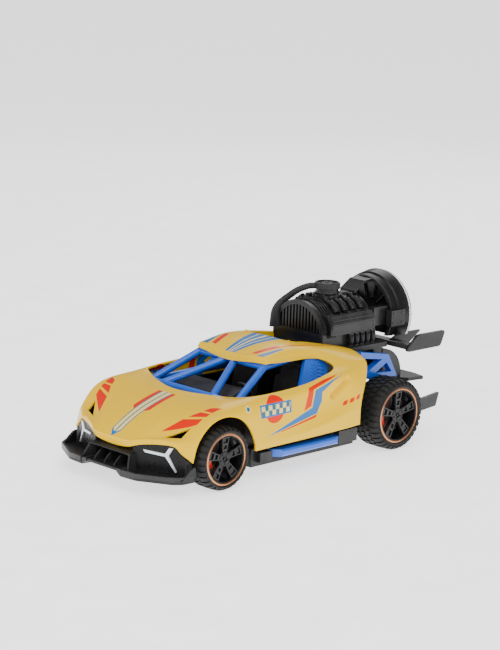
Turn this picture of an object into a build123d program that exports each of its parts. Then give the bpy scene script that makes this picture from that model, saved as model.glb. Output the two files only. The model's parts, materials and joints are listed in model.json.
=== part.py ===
"""Pull-back toy sports car with an open tube cage and an engine unit on its tail.

Frame: millimetres, +X towards the nose, +Y to the car's left, +Z up. The origin is on the
ground, under the centre of the car's bounding box. Each piece is a separate solid, written to
parts/<name>.step; left and right pieces are mirror images about the plane Y = 0.
"""

import os
from math import acos, cos, pi, radians, sin, tan

from build123d import *

# ---------------------------------------------------------------- driving dimensions
WHEELBASE = 135.0
FRONT_X, FRONT_Z = 75.5, 17.6                     # front axle
REAR_X, REAR_Z = FRONT_X - WHEELBASE, 20.6        # rear axle
AXLE_R = 1.2
RUN_GAP = 0.06                                    # radial clearance of a running fit

SKIN = 1.8                                        # wall of the painted body
BODY_HALF_W = 50.6
TUBE_R = 2.1                                      # cage tube
FLOOR_Z, FLOOR_TOP = 7.0, 9.5                     # chassis plate
TUB_Z = 9.6                                       # underside of the cabin tub
BLOCK_Y = (22.0, 30.0)                            # axle bearing blocks, inner and outer face
WALL = 1.5                                        # wall of the inner black mouldings

ENGINE_X = (-72.0, -31.0)
ENGINE_R, ENGINE_Z = 19.5, 63.0                   # arched top of the engine block
BASE_TOP = 65.6                                   # plain band under the ribs of the engine's front
CRADLE_Z = (53.5, 56.5)                           # plate that the engine stands on
RING_X = (-97.7, -85.0)
RING_R = (24.8, 22.2)                             # rear and front rim of the tail ring
RING_Z, RING_CUT_Z = 68.8, 57.6
CAP_X, CAP_Z = -52.2, 86.9
NECK_R, NECK_BORE_R, CAP_R = 6.6, 4.6, 7.6

MODULE = 0.7
AXLE_TEETH, WHEEL_TEETH, PINION_TEETH, BARREL_TEETH = 12, 28, 10, 30
PRESSURE = radians(25)
BACKLASH = 0.24                                   # along the pitch circle
ADDENDUM, DEDENDUM = 0.95, 1.25                   # in modules
IDLER_DIR, BARREL_DIR = radians(60), radians(-25)
PIN_R = 1.0
CASE_HALF_W = 12.0


class Wheel:
    """Sizes of one wheel; y values are for the left side."""

    def __init__(self, name, x, z, rim_r, tyre_r, face_y, width):
        self.name, self.x, self.z = name, x, z
        self.rim_r, self.tyre_r = rim_r, tyre_r
        self.face_y, self.back_y = face_y, face_y - width


FRONT = Wheel("front", FRONT_X, FRONT_Z, 13.2, 17.6, 52.2, 16.0)
REAR = Wheel("rear", REAR_X, REAR_Z, 14.9, 20.6, 54.2, 20.0)


# ---------------------------------------------------------------- helpers
def prism_y(points, y0, y1, mode=Mode.ADD):
    """A prism along Y from (x, z) points, in the part being built."""
    with BuildSketch(Plane.XZ.offset(-y0)) as face:
        with BuildLine():
            Polyline(*points, close=True)
        make_face()
    extrude(face.sketch, amount=y1 - y0, dir=(0, 1, 0), mode=mode)


def prism_z(points, z0, z1, mode=Mode.ADD):
    """A prism along Z from (x, y) points, in the part being built."""
    with BuildSketch(Plane.XY.offset(z0)) as face:
        with BuildLine():
            Polyline(*points, close=True)
        make_face()
    extrude(face.sketch, amount=z1 - z0, dir=(0, 0, 1), mode=mode)


def prism_x(points, x0, x1, mode=Mode.ADD):
    """A prism along X from (y, z) points, in the part being built."""
    with BuildSketch(Plane.YZ.offset(x0)) as face:
        with BuildLine():
            Polyline(*points, close=True)
        make_face()
    extrude(face.sketch, amount=x1 - x0, dir=(1, 0, 0), mode=mode)


def block(x, y, z, mode=Mode.ADD):
    """A box from its (low, high) pair along each axis, in the part being built."""
    with Locations(((x[0] + x[1]) / 2, (y[0] + y[1]) / 2, (z[0] + z[1]) / 2)):
        Box(x[1] - x[0], y[1] - y[0], z[1] - z[0], mode=mode)


def bar_y(x, z, radius, y0, y1, mode=Mode.ADD):
    """A round bar along Y, in the part being built."""
    with BuildSketch(Plane.XZ.offset(-y0)) as face:
        with Locations((x, z)):
            Circle(radius)
    extrude(face.sketch, amount=y1 - y0, dir=(0, 1, 0), mode=mode)


def bar_z(x, y, radius, z0, z1, mode=Mode.ADD):
    """A round bar along Z, in the part being built."""
    with BuildSketch(Plane.XY.offset(z0)) as face:
        with Locations((x, y)):
            Circle(radius)
    extrude(face.sketch, amount=z1 - z0, dir=(0, 0, 1), mode=mode)


def turned_y(profile, x, z, mode=Mode.ADD):
    """Revolves (radius, y) points about the lateral line at (x, z)."""
    with BuildSketch(Plane(origin=(x, 0, z), x_dir=(1, 0, 0), z_dir=(0, 0, 1))) as face:
        with BuildLine():
            Polyline(*profile, close=True)
        make_face()
    revolve(face.sketch, axis=Axis((x, 0, z), (0, 1, 0)), mode=mode)


def turned_x(profile, z, mode=Mode.ADD):
    """Revolves (x, radius) points about the lengthwise line at height z, Y = 0."""
    with BuildSketch(Plane(origin=(0, 0, z), x_dir=(1, 0, 0), z_dir=(0, -1, 0))) as face:
        with BuildLine():
            Polyline(*profile, close=True)
        make_face()
    revolve(face.sketch, axis=Axis((0, 0, z), (1, 0, 0)), mode=mode)


def tube(start, end, radius=TUBE_R):
    """A straight round tube with ball ends, in the part being built."""
    run = Vector(*end) - Vector(*start)
    with BuildSketch(Plane(origin=start, z_dir=run)) as face:
        Circle(radius)
    extrude(face.sketch, amount=run.length, dir=run)
    with Locations(start, end):
        Sphere(radius)


def both_sides(half):
    """Closes a half outline of (x, y) points, y >= 0, with its mirror image."""
    return half + [(x, -y) for x, y in reversed(half) if y > 0]


def mirrored(points):
    """Closes a half outline of (y, z) points, y >= 0, with its mirror image."""
    return points + [(-y, z) for y, z in reversed(points) if y > 0]


def write(name, part):
    """Labels a finished piece and writes its file."""
    part.label = name
    export_step(part, f"parts/{name}.step")


def write_pair(name, left):
    """Writes a left piece and its mirror image."""
    write(f"{name}_left", left)
    write(f"{name}_right", mirror(left, about=Plane.XZ))


# ---------------------------------------------------------------- painted body
BELT_TOP = [
    (112.4, 25.2), (104, 32.5), (92, 38.8), (78, 42.8), (62, 44.6),
    (50, 46.6), (16.7, 47.6), (-12, 55.4), (-24, 57), (-34.4, 55.5), (-46, 52),
]
BODY_BOTTOM = [
    (-35, 46.3), (-29.7, 18.8), (40, 17.8), (97.9, 19.2), (101, 23.5), (111.4, 23.5),
]
BODY_PLAN = [
    (112.4, 0), (112.2, 16.7), (107, 30), (100, 46), (96, 50.6), (-28, 50.6), (-46, 47), (-46, 0),
]
COCKPIT = [(69, 0), (57, 30), (53, 36), (44, 44), (-60, 44), (-60, 0)]
ARCH_R = 23.4

ROOF_TOP = [(27.6, 58.2), (24, 60.6), (10, 63.8), (-4, 65), (-13, 64), (-25, 61.5), (-46, 57)]
ROOF_LIP = (27.6, 56.4)
ROOF_PLAN = [
    (27.6, 0), (26.4, 25.6), (21.9, 29), (-8, 30), (-20, 33),
    (-46, 33), (-46, 22.2), (-16, 22.2), (-5, 14), (-5, 0),
]
SAIL = [
    (26, 60.8), (33, 58.6), (42, 54.6), (50.5, 48), (50.5, 44),
    (48.5, 44), (41, 52), (32.5, 56.4), (26, 58.6),
]
SAIL_SIDE = [(-10, 44), (-18, 56), (-12, 59.5), (-10, 66), (-46, 66), (-46, 52), (-35, 44)]


def body_shell():
    """Hood, fenders, doors, quarter panels and roof: one thin moulding, open below and behind."""
    inner_top = [(x - SKIN, z - SKIN) for x, z in BELT_TOP]
    inner_plan = [(x - SKIN if x > 0 else -60, max(y - SKIN, 0)) for x, y in BODY_PLAN]
    with BuildPart() as inner:
        prism_y(inner_top + [(-60, 48), (-60, 0), (110.6, 0)], -60, 60)
        with BuildSketch(Plane.XY):
            with BuildLine():
                Polyline(*both_sides(inner_plan), close=True)
            make_face()
        extrude(amount=80, mode=Mode.INTERSECT)

    roof_under = [(x - SKIN * 0.4, z - SKIN) for x, z in reversed(ROOF_TOP[1:])]
    with BuildPart() as roof:
        prism_y(ROOF_TOP + roof_under + [ROOF_LIP], -40, 40)
        with BuildSketch(Plane.XY.offset(40)):
            with BuildLine():
                Polyline(*both_sides(ROOF_PLAN), close=True)
            make_face()
        extrude(amount=40, mode=Mode.INTERSECT)

    with BuildPart() as sail:
        prism_x(SAIL, -46, -10)
        with BuildSketch(Plane.XZ.offset(-60)):
            with BuildLine():
                Polyline(*SAIL_SIDE, close=True)
            make_face()
        extrude(amount=60, mode=Mode.INTERSECT)

    with BuildPart() as shell:
        prism_y(BELT_TOP + BODY_BOTTOM, -BODY_HALF_W, BODY_HALF_W)
        with BuildSketch(Plane.XY):
            with BuildLine():
                Polyline(*both_sides(BODY_PLAN), close=True)
            make_face()
        extrude(amount=80, mode=Mode.INTERSECT)
        add(inner.part, mode=Mode.SUBTRACT)
        prism_z(both_sides(COCKPIT), 40, 70, mode=Mode.SUBTRACT)
        bar_y(FRONT_X, FRONT_Z, ARCH_R, -60, 60, mode=Mode.SUBTRACT)
        for side in (-1, 1):
            block((84, 101), sorted((side * 26, side * 60)), (10, 23), mode=Mode.SUBTRACT)
            prism_y([(100.5, 27.5), (99.5, 31), (89.6, 35)], side * 29, side * 39, mode=Mode.SUBTRACT)
        add(roof.part)
        add(sail.part)
        add(mirror(sail.part, about=Plane.XZ))
    write("body_shell", shell.part)


# ---------------------------------------------------------------- blue cage and frames
CAGE_FOOT = (53.5, 34.4, 41.0)
CAGE_HEAD = (23.5, 25.6, 55.6)
STAY_FOOT = (57.3, 20.3, 42.6)
STAY_HEAD = (25.9, 4.0, 54.7)
CAGE_BACK = (-17.6, 22.5, 58.4)
SILL_RAIL = (-20.0, 37.5, 41.0)


def flip(point, side):
    """A point on the left (side 1) or its mirror image (side -1)."""
    return (point[0], side * point[1], point[2])


def roll_cage():
    """Windscreen posts, the slanting stays between them, roof rails and the slotted side panels."""
    with BuildPart() as cage:
        for side in (-1, 1):
            foot, head = flip(CAGE_FOOT, side), flip(CAGE_HEAD, side)
            back, rail = flip(CAGE_BACK, side), flip(SILL_RAIL, side)
            tube(foot, head)
            tube(flip(STAY_FOOT, side), flip(STAY_HEAD, side))
            tube(foot, flip(STAY_FOOT, side))
            tube(head, back)
            tube(foot, rail)
        tube(flip(STAY_FOOT, -1), STAY_FOOT)
        tube(flip(CAGE_HEAD, -1), CAGE_HEAD)
        tube(flip(CAGE_BACK, -1), CAGE_BACK)
        for side in (-1, 1):
            lean = Vector(0, -side * 10.0, 16.6).normalized()
            panel_plane = Plane(
                origin=(0, side * 37.5, 42), x_dir=(1, 0, 0), z_dir=Vector(1, 0, 0).cross(lean)
            )
            with BuildSketch(panel_plane):
                with BuildLine():
                    Polyline((9, -1.5), (-13, -1.5), (-22.5, 16.4), (-4.5, 16.4), close=True)
                make_face()
            extrude(amount=1.3, both=True)
    write("roll_cage", cage.part)


def rear_frames():
    """Open side frames between the quarter panels and the tail cover."""
    with BuildPart() as frame:
        prism_y([(-47, 55.6), (-71, 51.2), (-79, 37.4), (-56, 38.2), (-47, 43)], 29.2, 33.4)
        prism_y([(-49.5, 51.5), (-65.5, 49.0), (-53, 43)], 25, 40, mode=Mode.SUBTRACT)
        prism_y([(-60, 41.6), (-69.5, 46.6), (-74, 40.6)], 25, 40, mode=Mode.SUBTRACT)
        block((-74.0, -66.5), (25.6, 29.2), (43, 49))
    write_pair("rear_frame", frame.part)


def side_steps():
    """Blue bars under the doors, with a rounded rear end and a front end that curls inwards."""
    with BuildPart() as step:
        with BuildSketch(Plane.XY.offset(10.8)):
            with BuildLine():
                Polyline((36, 44.6), (31, 50), (-12, 50.2), (-14.5, 48.5), (-14.5, 44.6), close=True)
            make_face()
        extrude(amount=4.2)
        fillet(step.edges().filter_by(Axis.X, tolerance=20).group_by(Axis.Y)[-1], 1.4)
    write_pair("side_step", step.part)


# ---------------------------------------------------------------- chassis and cabin
SCREW_SPOTS = [(44, 26), (44, -26), (-14, 30), (-14, -30)]
HEAD_R, SHANK_R = 2.3, 1.1


def chassis():
    """Flat pan with skirts, and the four blocks that hold the axles."""
    pan_half = [
        (104, 0), (104, 28), (97, 30), (52, 30), (50, 44.5),
        (-31, 44.5), (-34, 30), (-84, 30), (-84, 0),
    ]
    with BuildPart() as pan:
        prism_z(both_sides(pan_half), FLOOR_Z, FLOOR_TOP)
        for side in (-1, 1):
            skirt = sorted((side * 40.2, side * 44.5))
            block((-31, 50), skirt, (FLOOR_TOP, 17))
            block((-31, -16), sorted((side * 44.5, side * 47.5)), (9.5, 17))
            block((37, 46), sorted((side * 44.5, side * 47.5)), (9.5, 15))
            for x, z, top in ((FRONT_X, FRONT_Z, 24), (REAR_X, REAR_Z, 27)):
                block((x - 5, x + 5), sorted((side * BLOCK_Y[0], side * BLOCK_Y[1])), (FLOOR_TOP, top))
        for x, z in ((FRONT_X, FRONT_Z), (REAR_X, REAR_Z)):
            bar_y(x, z, AXLE_R + RUN_GAP, -40, 40, mode=Mode.SUBTRACT)
        for x, y in SCREW_SPOTS:
            bar_z(x, y, SHANK_R, FLOOR_Z, FLOOR_TOP, mode=Mode.SUBTRACT)
            bar_z(x, y, HEAD_R + 0.1, FLOOR_Z, FLOOR_Z + 1.3, mode=Mode.SUBTRACT)
    write("chassis", pan.part)


def chassis_screws():
    """Round-headed screws that hold the cabin tub to the pan."""
    with BuildPart() as screws:
        for x, y in SCREW_SPOTS:
            bar_z(x, y, HEAD_R, FLOOR_Z + 0.2, FLOOR_Z + 1.3)
            bar_z(x, y, SHANK_R, FLOOR_Z + 1.3, 13)
    write("chassis_screws", screws.part)


TUB_X, TUB_HALF_W = (-21.6, 50.0), 39.0


def floor_tub():
    """Open black tub of the cabin, with a high rear wall that carries the engine's plate."""
    with BuildPart() as tub:
        block(TUB_X, (-TUB_HALF_W, TUB_HALF_W), (TUB_Z, 37))
        block((TUB_X[0], TUB_X[0] + WALL), (-21.4, 21.4), (30, CRADLE_Z[0]))
        block(
            (TUB_X[0] + WALL, TUB_X[1] - WALL), (WALL - TUB_HALF_W, TUB_HALF_W - WALL),
            (TUB_Z + WALL, 60), mode=Mode.SUBTRACT,
        )
        for x, y in SCREW_SPOTS:
            bar_z(x, y, SHANK_R, TUB_Z, TUB_Z + WALL, mode=Mode.SUBTRACT)
    write("floor_tub", tub.part)


def dashboard():
    """Humped dash under the windscreen posts, standing on the tub floor."""
    floor = TUB_Z + WALL
    side = [
        (48.4, floor), (48.4, 39), (46, 41.6), (40, 44), (35.5, 44.8),
        (33, 42), (35, 30), (42, 24), (42, floor),
    ]
    with BuildPart() as dash:
        prism_y(side, -24, 24)
        fillet(dash.edges().filter_by(Axis.Y).group_by(Axis.Z)[-1], 1.2)
    write("dashboard", dash.part)


def steering_wheel():
    """Three-spoke wheel on a short column in front of the left seat."""
    centre, tilt = Vector(27.5, 15, 40.0), Vector(-1, 0, 0.45).normalized()
    wheel_plane = Plane(origin=centre, z_dir=tilt)
    with BuildPart() as wheel:
        with BuildSketch(wheel_plane.offset(-0.7)):
            Circle(6.2)
            Circle(4.8, mode=Mode.SUBTRACT)
            with PolarLocations(2.9, 3):
                Rectangle(5.0, 1.4)
            Circle(1.5)
        extrude(amount=1.4)
        with BuildSketch(wheel_plane):
            Circle(0.9)
        extrude(amount=-6.2)
    write("steering_wheel", wheel.part)


def seats():
    """High-backed bucket seats with a head rest."""
    floor = TUB_Z + WALL
    side = [(17, floor), (17, 20), (13, 22), (-1, 19.5), (-6.5, 49), (-9, 52), (-13, 51), (-14.5, floor)]
    with BuildPart() as seat:
        prism_y(side, 6, 27)
        prism_y([(20, 24), (13, 23.5), (1.2, 22), (-4.5, 44), (20, 60)], 9, 24, mode=Mode.SUBTRACT)
        for cut in ((0, 9.5), (23.5, 30)):
            prism_x([(cut[0], 43), (cut[1], 43), (cut[1], 60), (cut[0], 60)], -20, 20, mode=Mode.SUBTRACT)
    write_pair("seat", seat.part)


# ---------------------------------------------------------------- front end
def front_splitter():
    """Black chin: a tray with raised ends, a stepped middle lip and the slatted centre grille."""
    tray = [
        (119.5, 0), (119.2, 22), (116.5, 26), (107.3, 46.8), (97.5, 50.6),
        (94.8, 50.6), (94.8, 31), (104, 31), (104, 0),
    ]
    rim = [(117.5, 24.0), (108.0, 46.2), (106.6, 45.4), (115.6, 24.0)]
    with BuildPart() as chin:
        prism_z(both_sides(tray), 7.8, 10.4)
        prism_z(both_sides([(119.0, 0), (118.7, 21.6), (116.2, 25), (113, 25), (113, 0)]), 10, 12.4)
        for side in (-1, 1):
            prism_y([(95.2, 10), (106, 10), (98, 16), (95.2, 16.4)], side * 48.4, side * 50.2)
            prism_z([(x, side * y) for x, y in rim], 10, 11.6)
        prism_x(mirrored([(19.4, 10), (14.4, 20.2)]), 111.5, 115.5)
        for y in (-11.4, -3.8, 3.8, 11.4):
            slot = [(y - 2.9, 13), (y + 2.9, 13), (y + 2.0, 18.6), (y - 2.0, 18.6)]
            prism_x(slot, 112.3, 116, mode=Mode.SUBTRACT)
        block((104.4, 111.6), (-13.5, 13.5), (10, 20.0))
    write("front_splitter", chin.part)


def lamps():
    """Black mesh panels of the lower lamps, each with a bright Y-shaped strip set on its face."""
    front = [(111.0, 19.6), (108.2, 24), (101.6, 46)]
    back = [(98.6, 46), (105.2, 24), (108.0, 19.6)]
    with BuildPart() as lamp:
        prism_z(front + back, 11.7, 22.9)
        prism_z([(108.2, 14.6), (111.0, 14.6), (111.0, 19.6), (108.0, 19.6)], 20.4, 22.9)
    face = Vector(101.6 - 108.2, 46 - 24, 0).normalized()
    strip_plane = Plane(origin=(108.2, 24, 0), x_dir=face, z_dir=face.cross(Vector(0, 0, 1)))
    with BuildPart() as strip:
        with BuildSketch(strip_plane):
            with BuildLine():
                Polyline(
                    (0.5, 19.1), (11.6, 18.8), (15.0, 21.6), (16.4, 21.6), (13.0, 18.3),
                    (16.7, 11.9), (15.7, 11.9), (12.0, 17.8), (0.5, 18.3), close=True,
                )
            make_face()
        extrude(amount=0.9)
    write_pair("lamp", lamp.part)
    write_pair("lamp_strip", strip.part)


# ---------------------------------------------------------------- engine unit
def arch_points(radius, base, steps=20):
    """Half-round arch over straight sides, as (y, z) points."""
    arc = [(radius * cos(pi * i / steps), ENGINE_Z + radius * sin(pi * i / steps)) for i in range(steps + 1)]
    return [(radius, base)] + arc + [(-radius, base)]


def engine_cradle():
    """Plate under the engine, on two legs that stand on the pan."""
    plan = [(-21.8, 0), (-21.8, 21.4), (-47, 21.4), (-47, 25.5), (-78, 25.5), (-78, 0)]
    with BuildPart() as cradle:
        prism_z(both_sides(plan), *CRADLE_Z)
        for side in (-1, 1):
            leg = sorted((side * 23.3, side * 25.5))
            block((-74, -66.5), leg, (FLOOR_TOP, CRADLE_Z[0]))
        block((-74, -72.4), (-23.3, 23.3), (44, CRADLE_Z[0]))
    write("engine_cradle", cradle.part)


def engine_block():
    """Arched engine cover, hollow and open below, with a round hole for the filler neck."""
    with BuildPart() as motor:
        prism_x(arch_points(ENGINE_R, CRADLE_Z[1]), *ENGINE_X)
        prism_x(
            arch_points(ENGINE_R - 2, CRADLE_Z[1]), ENGINE_X[0] + 2, ENGINE_X[1] - 2, mode=Mode.SUBTRACT
        )
        bar_z(CAP_X, 0, NECK_R, 70, 90, mode=Mode.SUBTRACT)
    write("engine_block", motor.part)


def engine_front_grille():
    """Ribbed half-round plate on the front of the engine."""
    x = ENGINE_X[1]
    with BuildPart() as grille:
        prism_x(arch_points(ENGINE_R, CRADLE_Z[1]), x, x + 0.8)
        prism_x(arch_points(ENGINE_R, CRADLE_Z[1]), x + 0.8, x + 2.2)
        prism_x(arch_points(ENGINE_R - 2.2, CRADLE_Z[1]), x + 0.8, x + 3, mode=Mode.SUBTRACT)
        block((x, x + 2.2), (2 - ENGINE_R, ENGINE_R - 2), (CRADLE_Z[1], BASE_TOP))
        for i in range(-6, 7):
            y = i * 2.5
            top = ENGINE_Z + ((ENGINE_R - 1.5) ** 2 - y * y) ** 0.5
            block((x + 0.8, x + 2.0), (y - 0.6, y + 0.6), (BASE_TOP - 1, top))
    write("engine_front_grille", grille.part)


def valve_covers():
    """Long covers along both flanks of the engine."""
    section = [(10, 64.6), (22.5, 64.6), (22.5, 70.8), (19.6, 75.4), (10, 75.4)]
    recess = [(21.4, 65.8), (22.5, 65.8), (22.5, 69.8), (21.4, 69.8)]
    with BuildPart() as cover:
        prism_x(section, -70, -33.5)
        prism_x(recess, -68, -35.5, mode=Mode.SUBTRACT)
        with BuildSketch(Plane.YZ.offset(-70)):
            with Locations((0, ENGINE_Z)):
                Circle(ENGINE_R)
        extrude(amount=45, mode=Mode.SUBTRACT)
    write_pair("valve_cover", cover.part)


def intake_runners():
    """Four bent pipes on each side, from the crown of the engine down to the valve cover."""
    radius, low, high = 1.9, radians(39.6), radians(60)
    path_r = ENGINE_R + radius + 0.05
    crown = Axis((0, 0, ENGINE_Z), (1, 0, 0))
    with BuildPart() as runners:
        for side in (-1, 1):
            along = Vector(0, -side * sin(low), cos(low))
            for i in range(4):
                foot = (-43.8 - 6.8 * i, side * path_r * cos(low), ENGINE_Z + path_r * sin(low))
                with BuildSketch(Plane(origin=foot, x_dir=(1, 0, 0), z_dir=along)) as end:
                    Circle(radius)
                revolve(end.sketch, axis=crown, revolution_arc=side * (high - low) * 180 / pi)
    write("intake_runners", runners.part)


def header_pipes():
    """Short exhaust pipes from the covers down to the cradle."""
    with BuildPart() as pipes:
        for i in range(5):
            bar_z(-50.7 - 4.6 * i, 21.0, 1.35, CRADLE_Z[1], 64.6)
    write_pair("header_pipes", pipes.part)


def filler():
    """Filler neck with a flange, and the push-in cap with its strap."""
    with BuildPart() as neck:
        bar_z(CAP_X, 0, NECK_R, 78, CAP_Z)
        bar_z(CAP_X, 0, 8.4, 82.6, 84.2)
        bar_z(CAP_X, 0, NECK_BORE_R, 70, 90, mode=Mode.SUBTRACT)
    write("filler_neck", neck.part)
    with BuildPart() as cap:
        bar_z(CAP_X, 0, CAP_R, CAP_Z + 0.1, CAP_Z + 3.9)
        bar_z(CAP_X, 0, NECK_BORE_R - RUN_GAP, CAP_Z - 4, CAP_Z + 0.1)
        bar_z(CAP_X, 0, CAP_R - 1.6, CAP_Z + 2.9, CAP_Z + 5, mode=Mode.SUBTRACT)
        chamfer(cap.edges().filter_by(GeomType.CIRCLE).sort_by(SortBy.RADIUS)[-2:], 0.5)
    write("filler_cap", cap.part)
    start = (CAP_X + 6.9, -4.4, CAP_Z + 2)
    route = [start, (-38.4, -9.4, 86.8), (-29.6, -16.0, 80.8), (-26.9, -17.2, 74), (-27.0, -16.8, 65)]
    with BuildPart() as strap:
        with BuildLine() as path:
            FilletPolyline(*route, radius=[8, 6, 6])
        with BuildSketch(Plane(origin=path.line @ 0, z_dir=path.line % 0)):
            Circle(1.5)
        sweep()
        block((ENGINE_X[1] + 2.2, -26.4), (-20.6, -13.2), (63, 69.6))
    write("cap_strap", strap.part)


def tail_ring():
    """Stepped drum behind the engine with its web, brackets and ramp, the clear ring and the nozzle."""
    rear_x, front_x = RING_X
    rear_r, front_r = RING_R
    wall, web_x = 2.4, (-91.5, -89.5)
    outside = [
        (front_x, front_r), (front_x - 3.4, front_r + 0.7), (front_x - 4.0, front_r + 0.1),
        (front_x - 5.0, front_r + 0.3), (front_x - 5.6, front_r + 1.4), (rear_x, rear_r),
    ]
    ramp = [
        (-69.5, 82.7), (-69.5, 84.3), (-77.5, 89.5), (front_x - 1, 90.2), (front_x - 1, 88.4), (-77.8, 87.7),
    ]
    with BuildPart() as ring:
        turned_x(outside + [(rear_x, rear_r - wall), (front_x, front_r - wall)], RING_Z)
        turned_x([(web_x[0], 8.4), (web_x[1], 8.4), (web_x[1], 21.5), (web_x[0], 21.5)], RING_Z)
        prism_y(ramp, -5.8, 5.8)
        for side in (-1, 1):
            block((web_x[1], ENGINE_X[0]), sorted((side * 15.5, side * 19.4)), (65.2, 76))
            block((-94, -82), sorted((side * 20.4, side * 24.6)), (64.4, 73.8))
        block((rear_x - 5, front_x + 5), (-30, 30), (RING_CUT_Z - 25, RING_CUT_Z), mode=Mode.SUBTRACT)
    write("ring_housing", ring.part)
    inner_r = rear_r - 3.2
    with BuildPart() as lens:
        turned_x(
            [(rear_x, rear_r), (rear_x - 2.4, rear_r - 0.6), (rear_x - 2.4, inner_r), (rear_x, inner_r)],
            RING_Z,
        )
        block((rear_x - 5, rear_x + 5), (-30, 30), (RING_CUT_Z - 25, RING_CUT_Z), mode=Mode.SUBTRACT)
    write("ring_lens", lens.part)
    with BuildPart() as nozzle:
        turned_x(
            [(ENGINE_X[0], 5), (ENGINE_X[0], 8), (-92, 8.1), (-94.5, 10.4), (-94.5, 8.8), (-91, 5)],
            RING_Z,
        )
    write("outlet_nozzle", nozzle.part)


# ---------------------------------------------------------------- tail
END_PLATE = [(-119.5, 59.6), (-94.6, 60), (-85, 51.8), (-86.5, 50.4), (-115.5, 50.4)]
INNER_FIN = [(-118, 57), (-98, 57.4), (-90, 54), (-98.5, 50.8), (-104, 48)]


def rear_wing():
    """Narrow blade with two tall end plates and two inner fins."""
    with BuildPart() as wing:
        prism_y([(-78, 53.6), (-78, 56.4), (-88, 54.6), (-98.5, 53.2), (-98.5, 50.8), (-87, 51.6)], -10, 10)
        prism_y([(-87, 51.6), (-88, 54.2), (-98.5, 53.2), (-98.5, 50.8)], -33, 33)
        for side in (-1, 1):
            prism_y(END_PLATE, side * 33, side * 35)
            prism_y(INNER_FIN, side * 15.5, side * 17)
    write("rear_wing", wing.part)


def rear_cover():
    """Half-drum cover behind the cradle with a flat shelf under it."""
    centre = (-74.0, 36.0)
    with BuildPart() as cover:
        bar_y(*centre, 16.5, -26, 26)
        bar_y(*centre, 14.7, -24.2, 24.2, mode=Mode.SUBTRACT)
        block((-74, -50), (-30, 30), (10, 60), mode=Mode.SUBTRACT)
        block((-95, -50), (-30, 30), (10, 31.6), mode=Mode.SUBTRACT)
        prism_z(both_sides([(-88, 0), (-88, 26), (-92, 31), (-103, 33), (-105, 24), (-105, 0)]), 31.6, 33.6)
    write("rear_cover", cover.part)


def rear_bumper():
    """Cross bar behind the rear wheels with an upright plate at each end."""
    with BuildPart() as bumper:
        block((-90, -84), (-22, 22), (7.4, 22))
        block((-90, -84), (-46, 46), (18.5, 24.5))
        for side in (-1, 1):
            prism_y([(-84, 18), (-98, 19.2), (-100.5, 27), (-84, 25.2)], side * 46, side * 48)
        for y in (-14, 0, 14):
            block((-96, -90), (y - 0.9, y + 0.9), (8.2, 20))
    write("rear_bumper", bumper.part)


# ---------------------------------------------------------------- wheels
def wheel_pieces(wheel):
    """Tyre, rim, copper ring for both sides, and the axle rod and brake discs of one axle."""
    rim_r, tyre_r, face, back = wheel.rim_r, wheel.tyre_r, wheel.face_y, wheel.back_y
    ring_r = rim_r + 1.2
    with BuildPart() as tyre:
        turned_y(
            [
                (rim_r, back + 1), (rim_r + 1.4, back), (tyre_r - 1.2, back + 0.6),
                (tyre_r - 0.2, back + 1.8), (tyre_r, back + 4), (tyre_r, face - 3.6),
                (tyre_r - 0.3, face - 2), (tyre_r - 1.4, face - 0.5), (ring_r + 0.8, face),
                (ring_r, face - 0.5), (ring_r, face - 1.8), (rim_r, face - 1.8),
            ],
            wheel.x, wheel.z,
        )
    write_pair(f"tyre_{wheel.name}", tyre.part)

    with BuildPart() as ring:
        turned_y(
            [
                (rim_r, face - 1.8), (ring_r, face - 1.8), (ring_r, face - 0.7),
                (rim_r + 0.4, face - 0.4), (rim_r, face - 0.6),
            ],
            wheel.x, wheel.z,
        )
    write_pair(f"trim_ring_{wheel.name}", ring.part)

    spoke_plane = Plane.XZ.offset(2.6 - face)
    with BuildPart() as rim:
        turned_y(
            [(rim_r - 1.2, back + 1), (rim_r, back + 1), (rim_r, face - 0.8), (rim_r - 1.2, face - 1.2)],
            wheel.x, wheel.z,
        )
        with BuildSketch(spoke_plane):
            with Locations((wheel.x, wheel.z)):
                Circle(4.2)
                with PolarLocations((rim_r + 2) / 2 - 0.6, 5, start_angle=90):
                    Trapezoid(4.6, rim_r - 3.2, 86, rotation=90)
        extrude(amount=2.2)
        bar_y(wheel.x, wheel.z, 3.0, face - 8.0, face - 2.6)
        bar_y(wheel.x, wheel.z, AXLE_R, face - 9, face - 3.6, mode=Mode.SUBTRACT)
    write_pair(f"rim_{wheel.name}", rim.part)

    with BuildPart() as rod:
        bar_y(wheel.x, wheel.z, AXLE_R, 3.6 - face, face - 3.6)
    write(f"{wheel.name}_axle_rod", rod.part)

    disc_y = (face - 8.0, face - 7.0)
    with BuildPart() as discs:
        for side in (-1, 1):
            bar_y(wheel.x, wheel.z, rim_r - 4, side * disc_y[0], side * disc_y[1])
            bar_y(wheel.x, wheel.z, 3.0, side * disc_y[0], side * disc_y[1], mode=Mode.SUBTRACT)
    write(f"brake_discs_{wheel.name}", discs.part)


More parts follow.
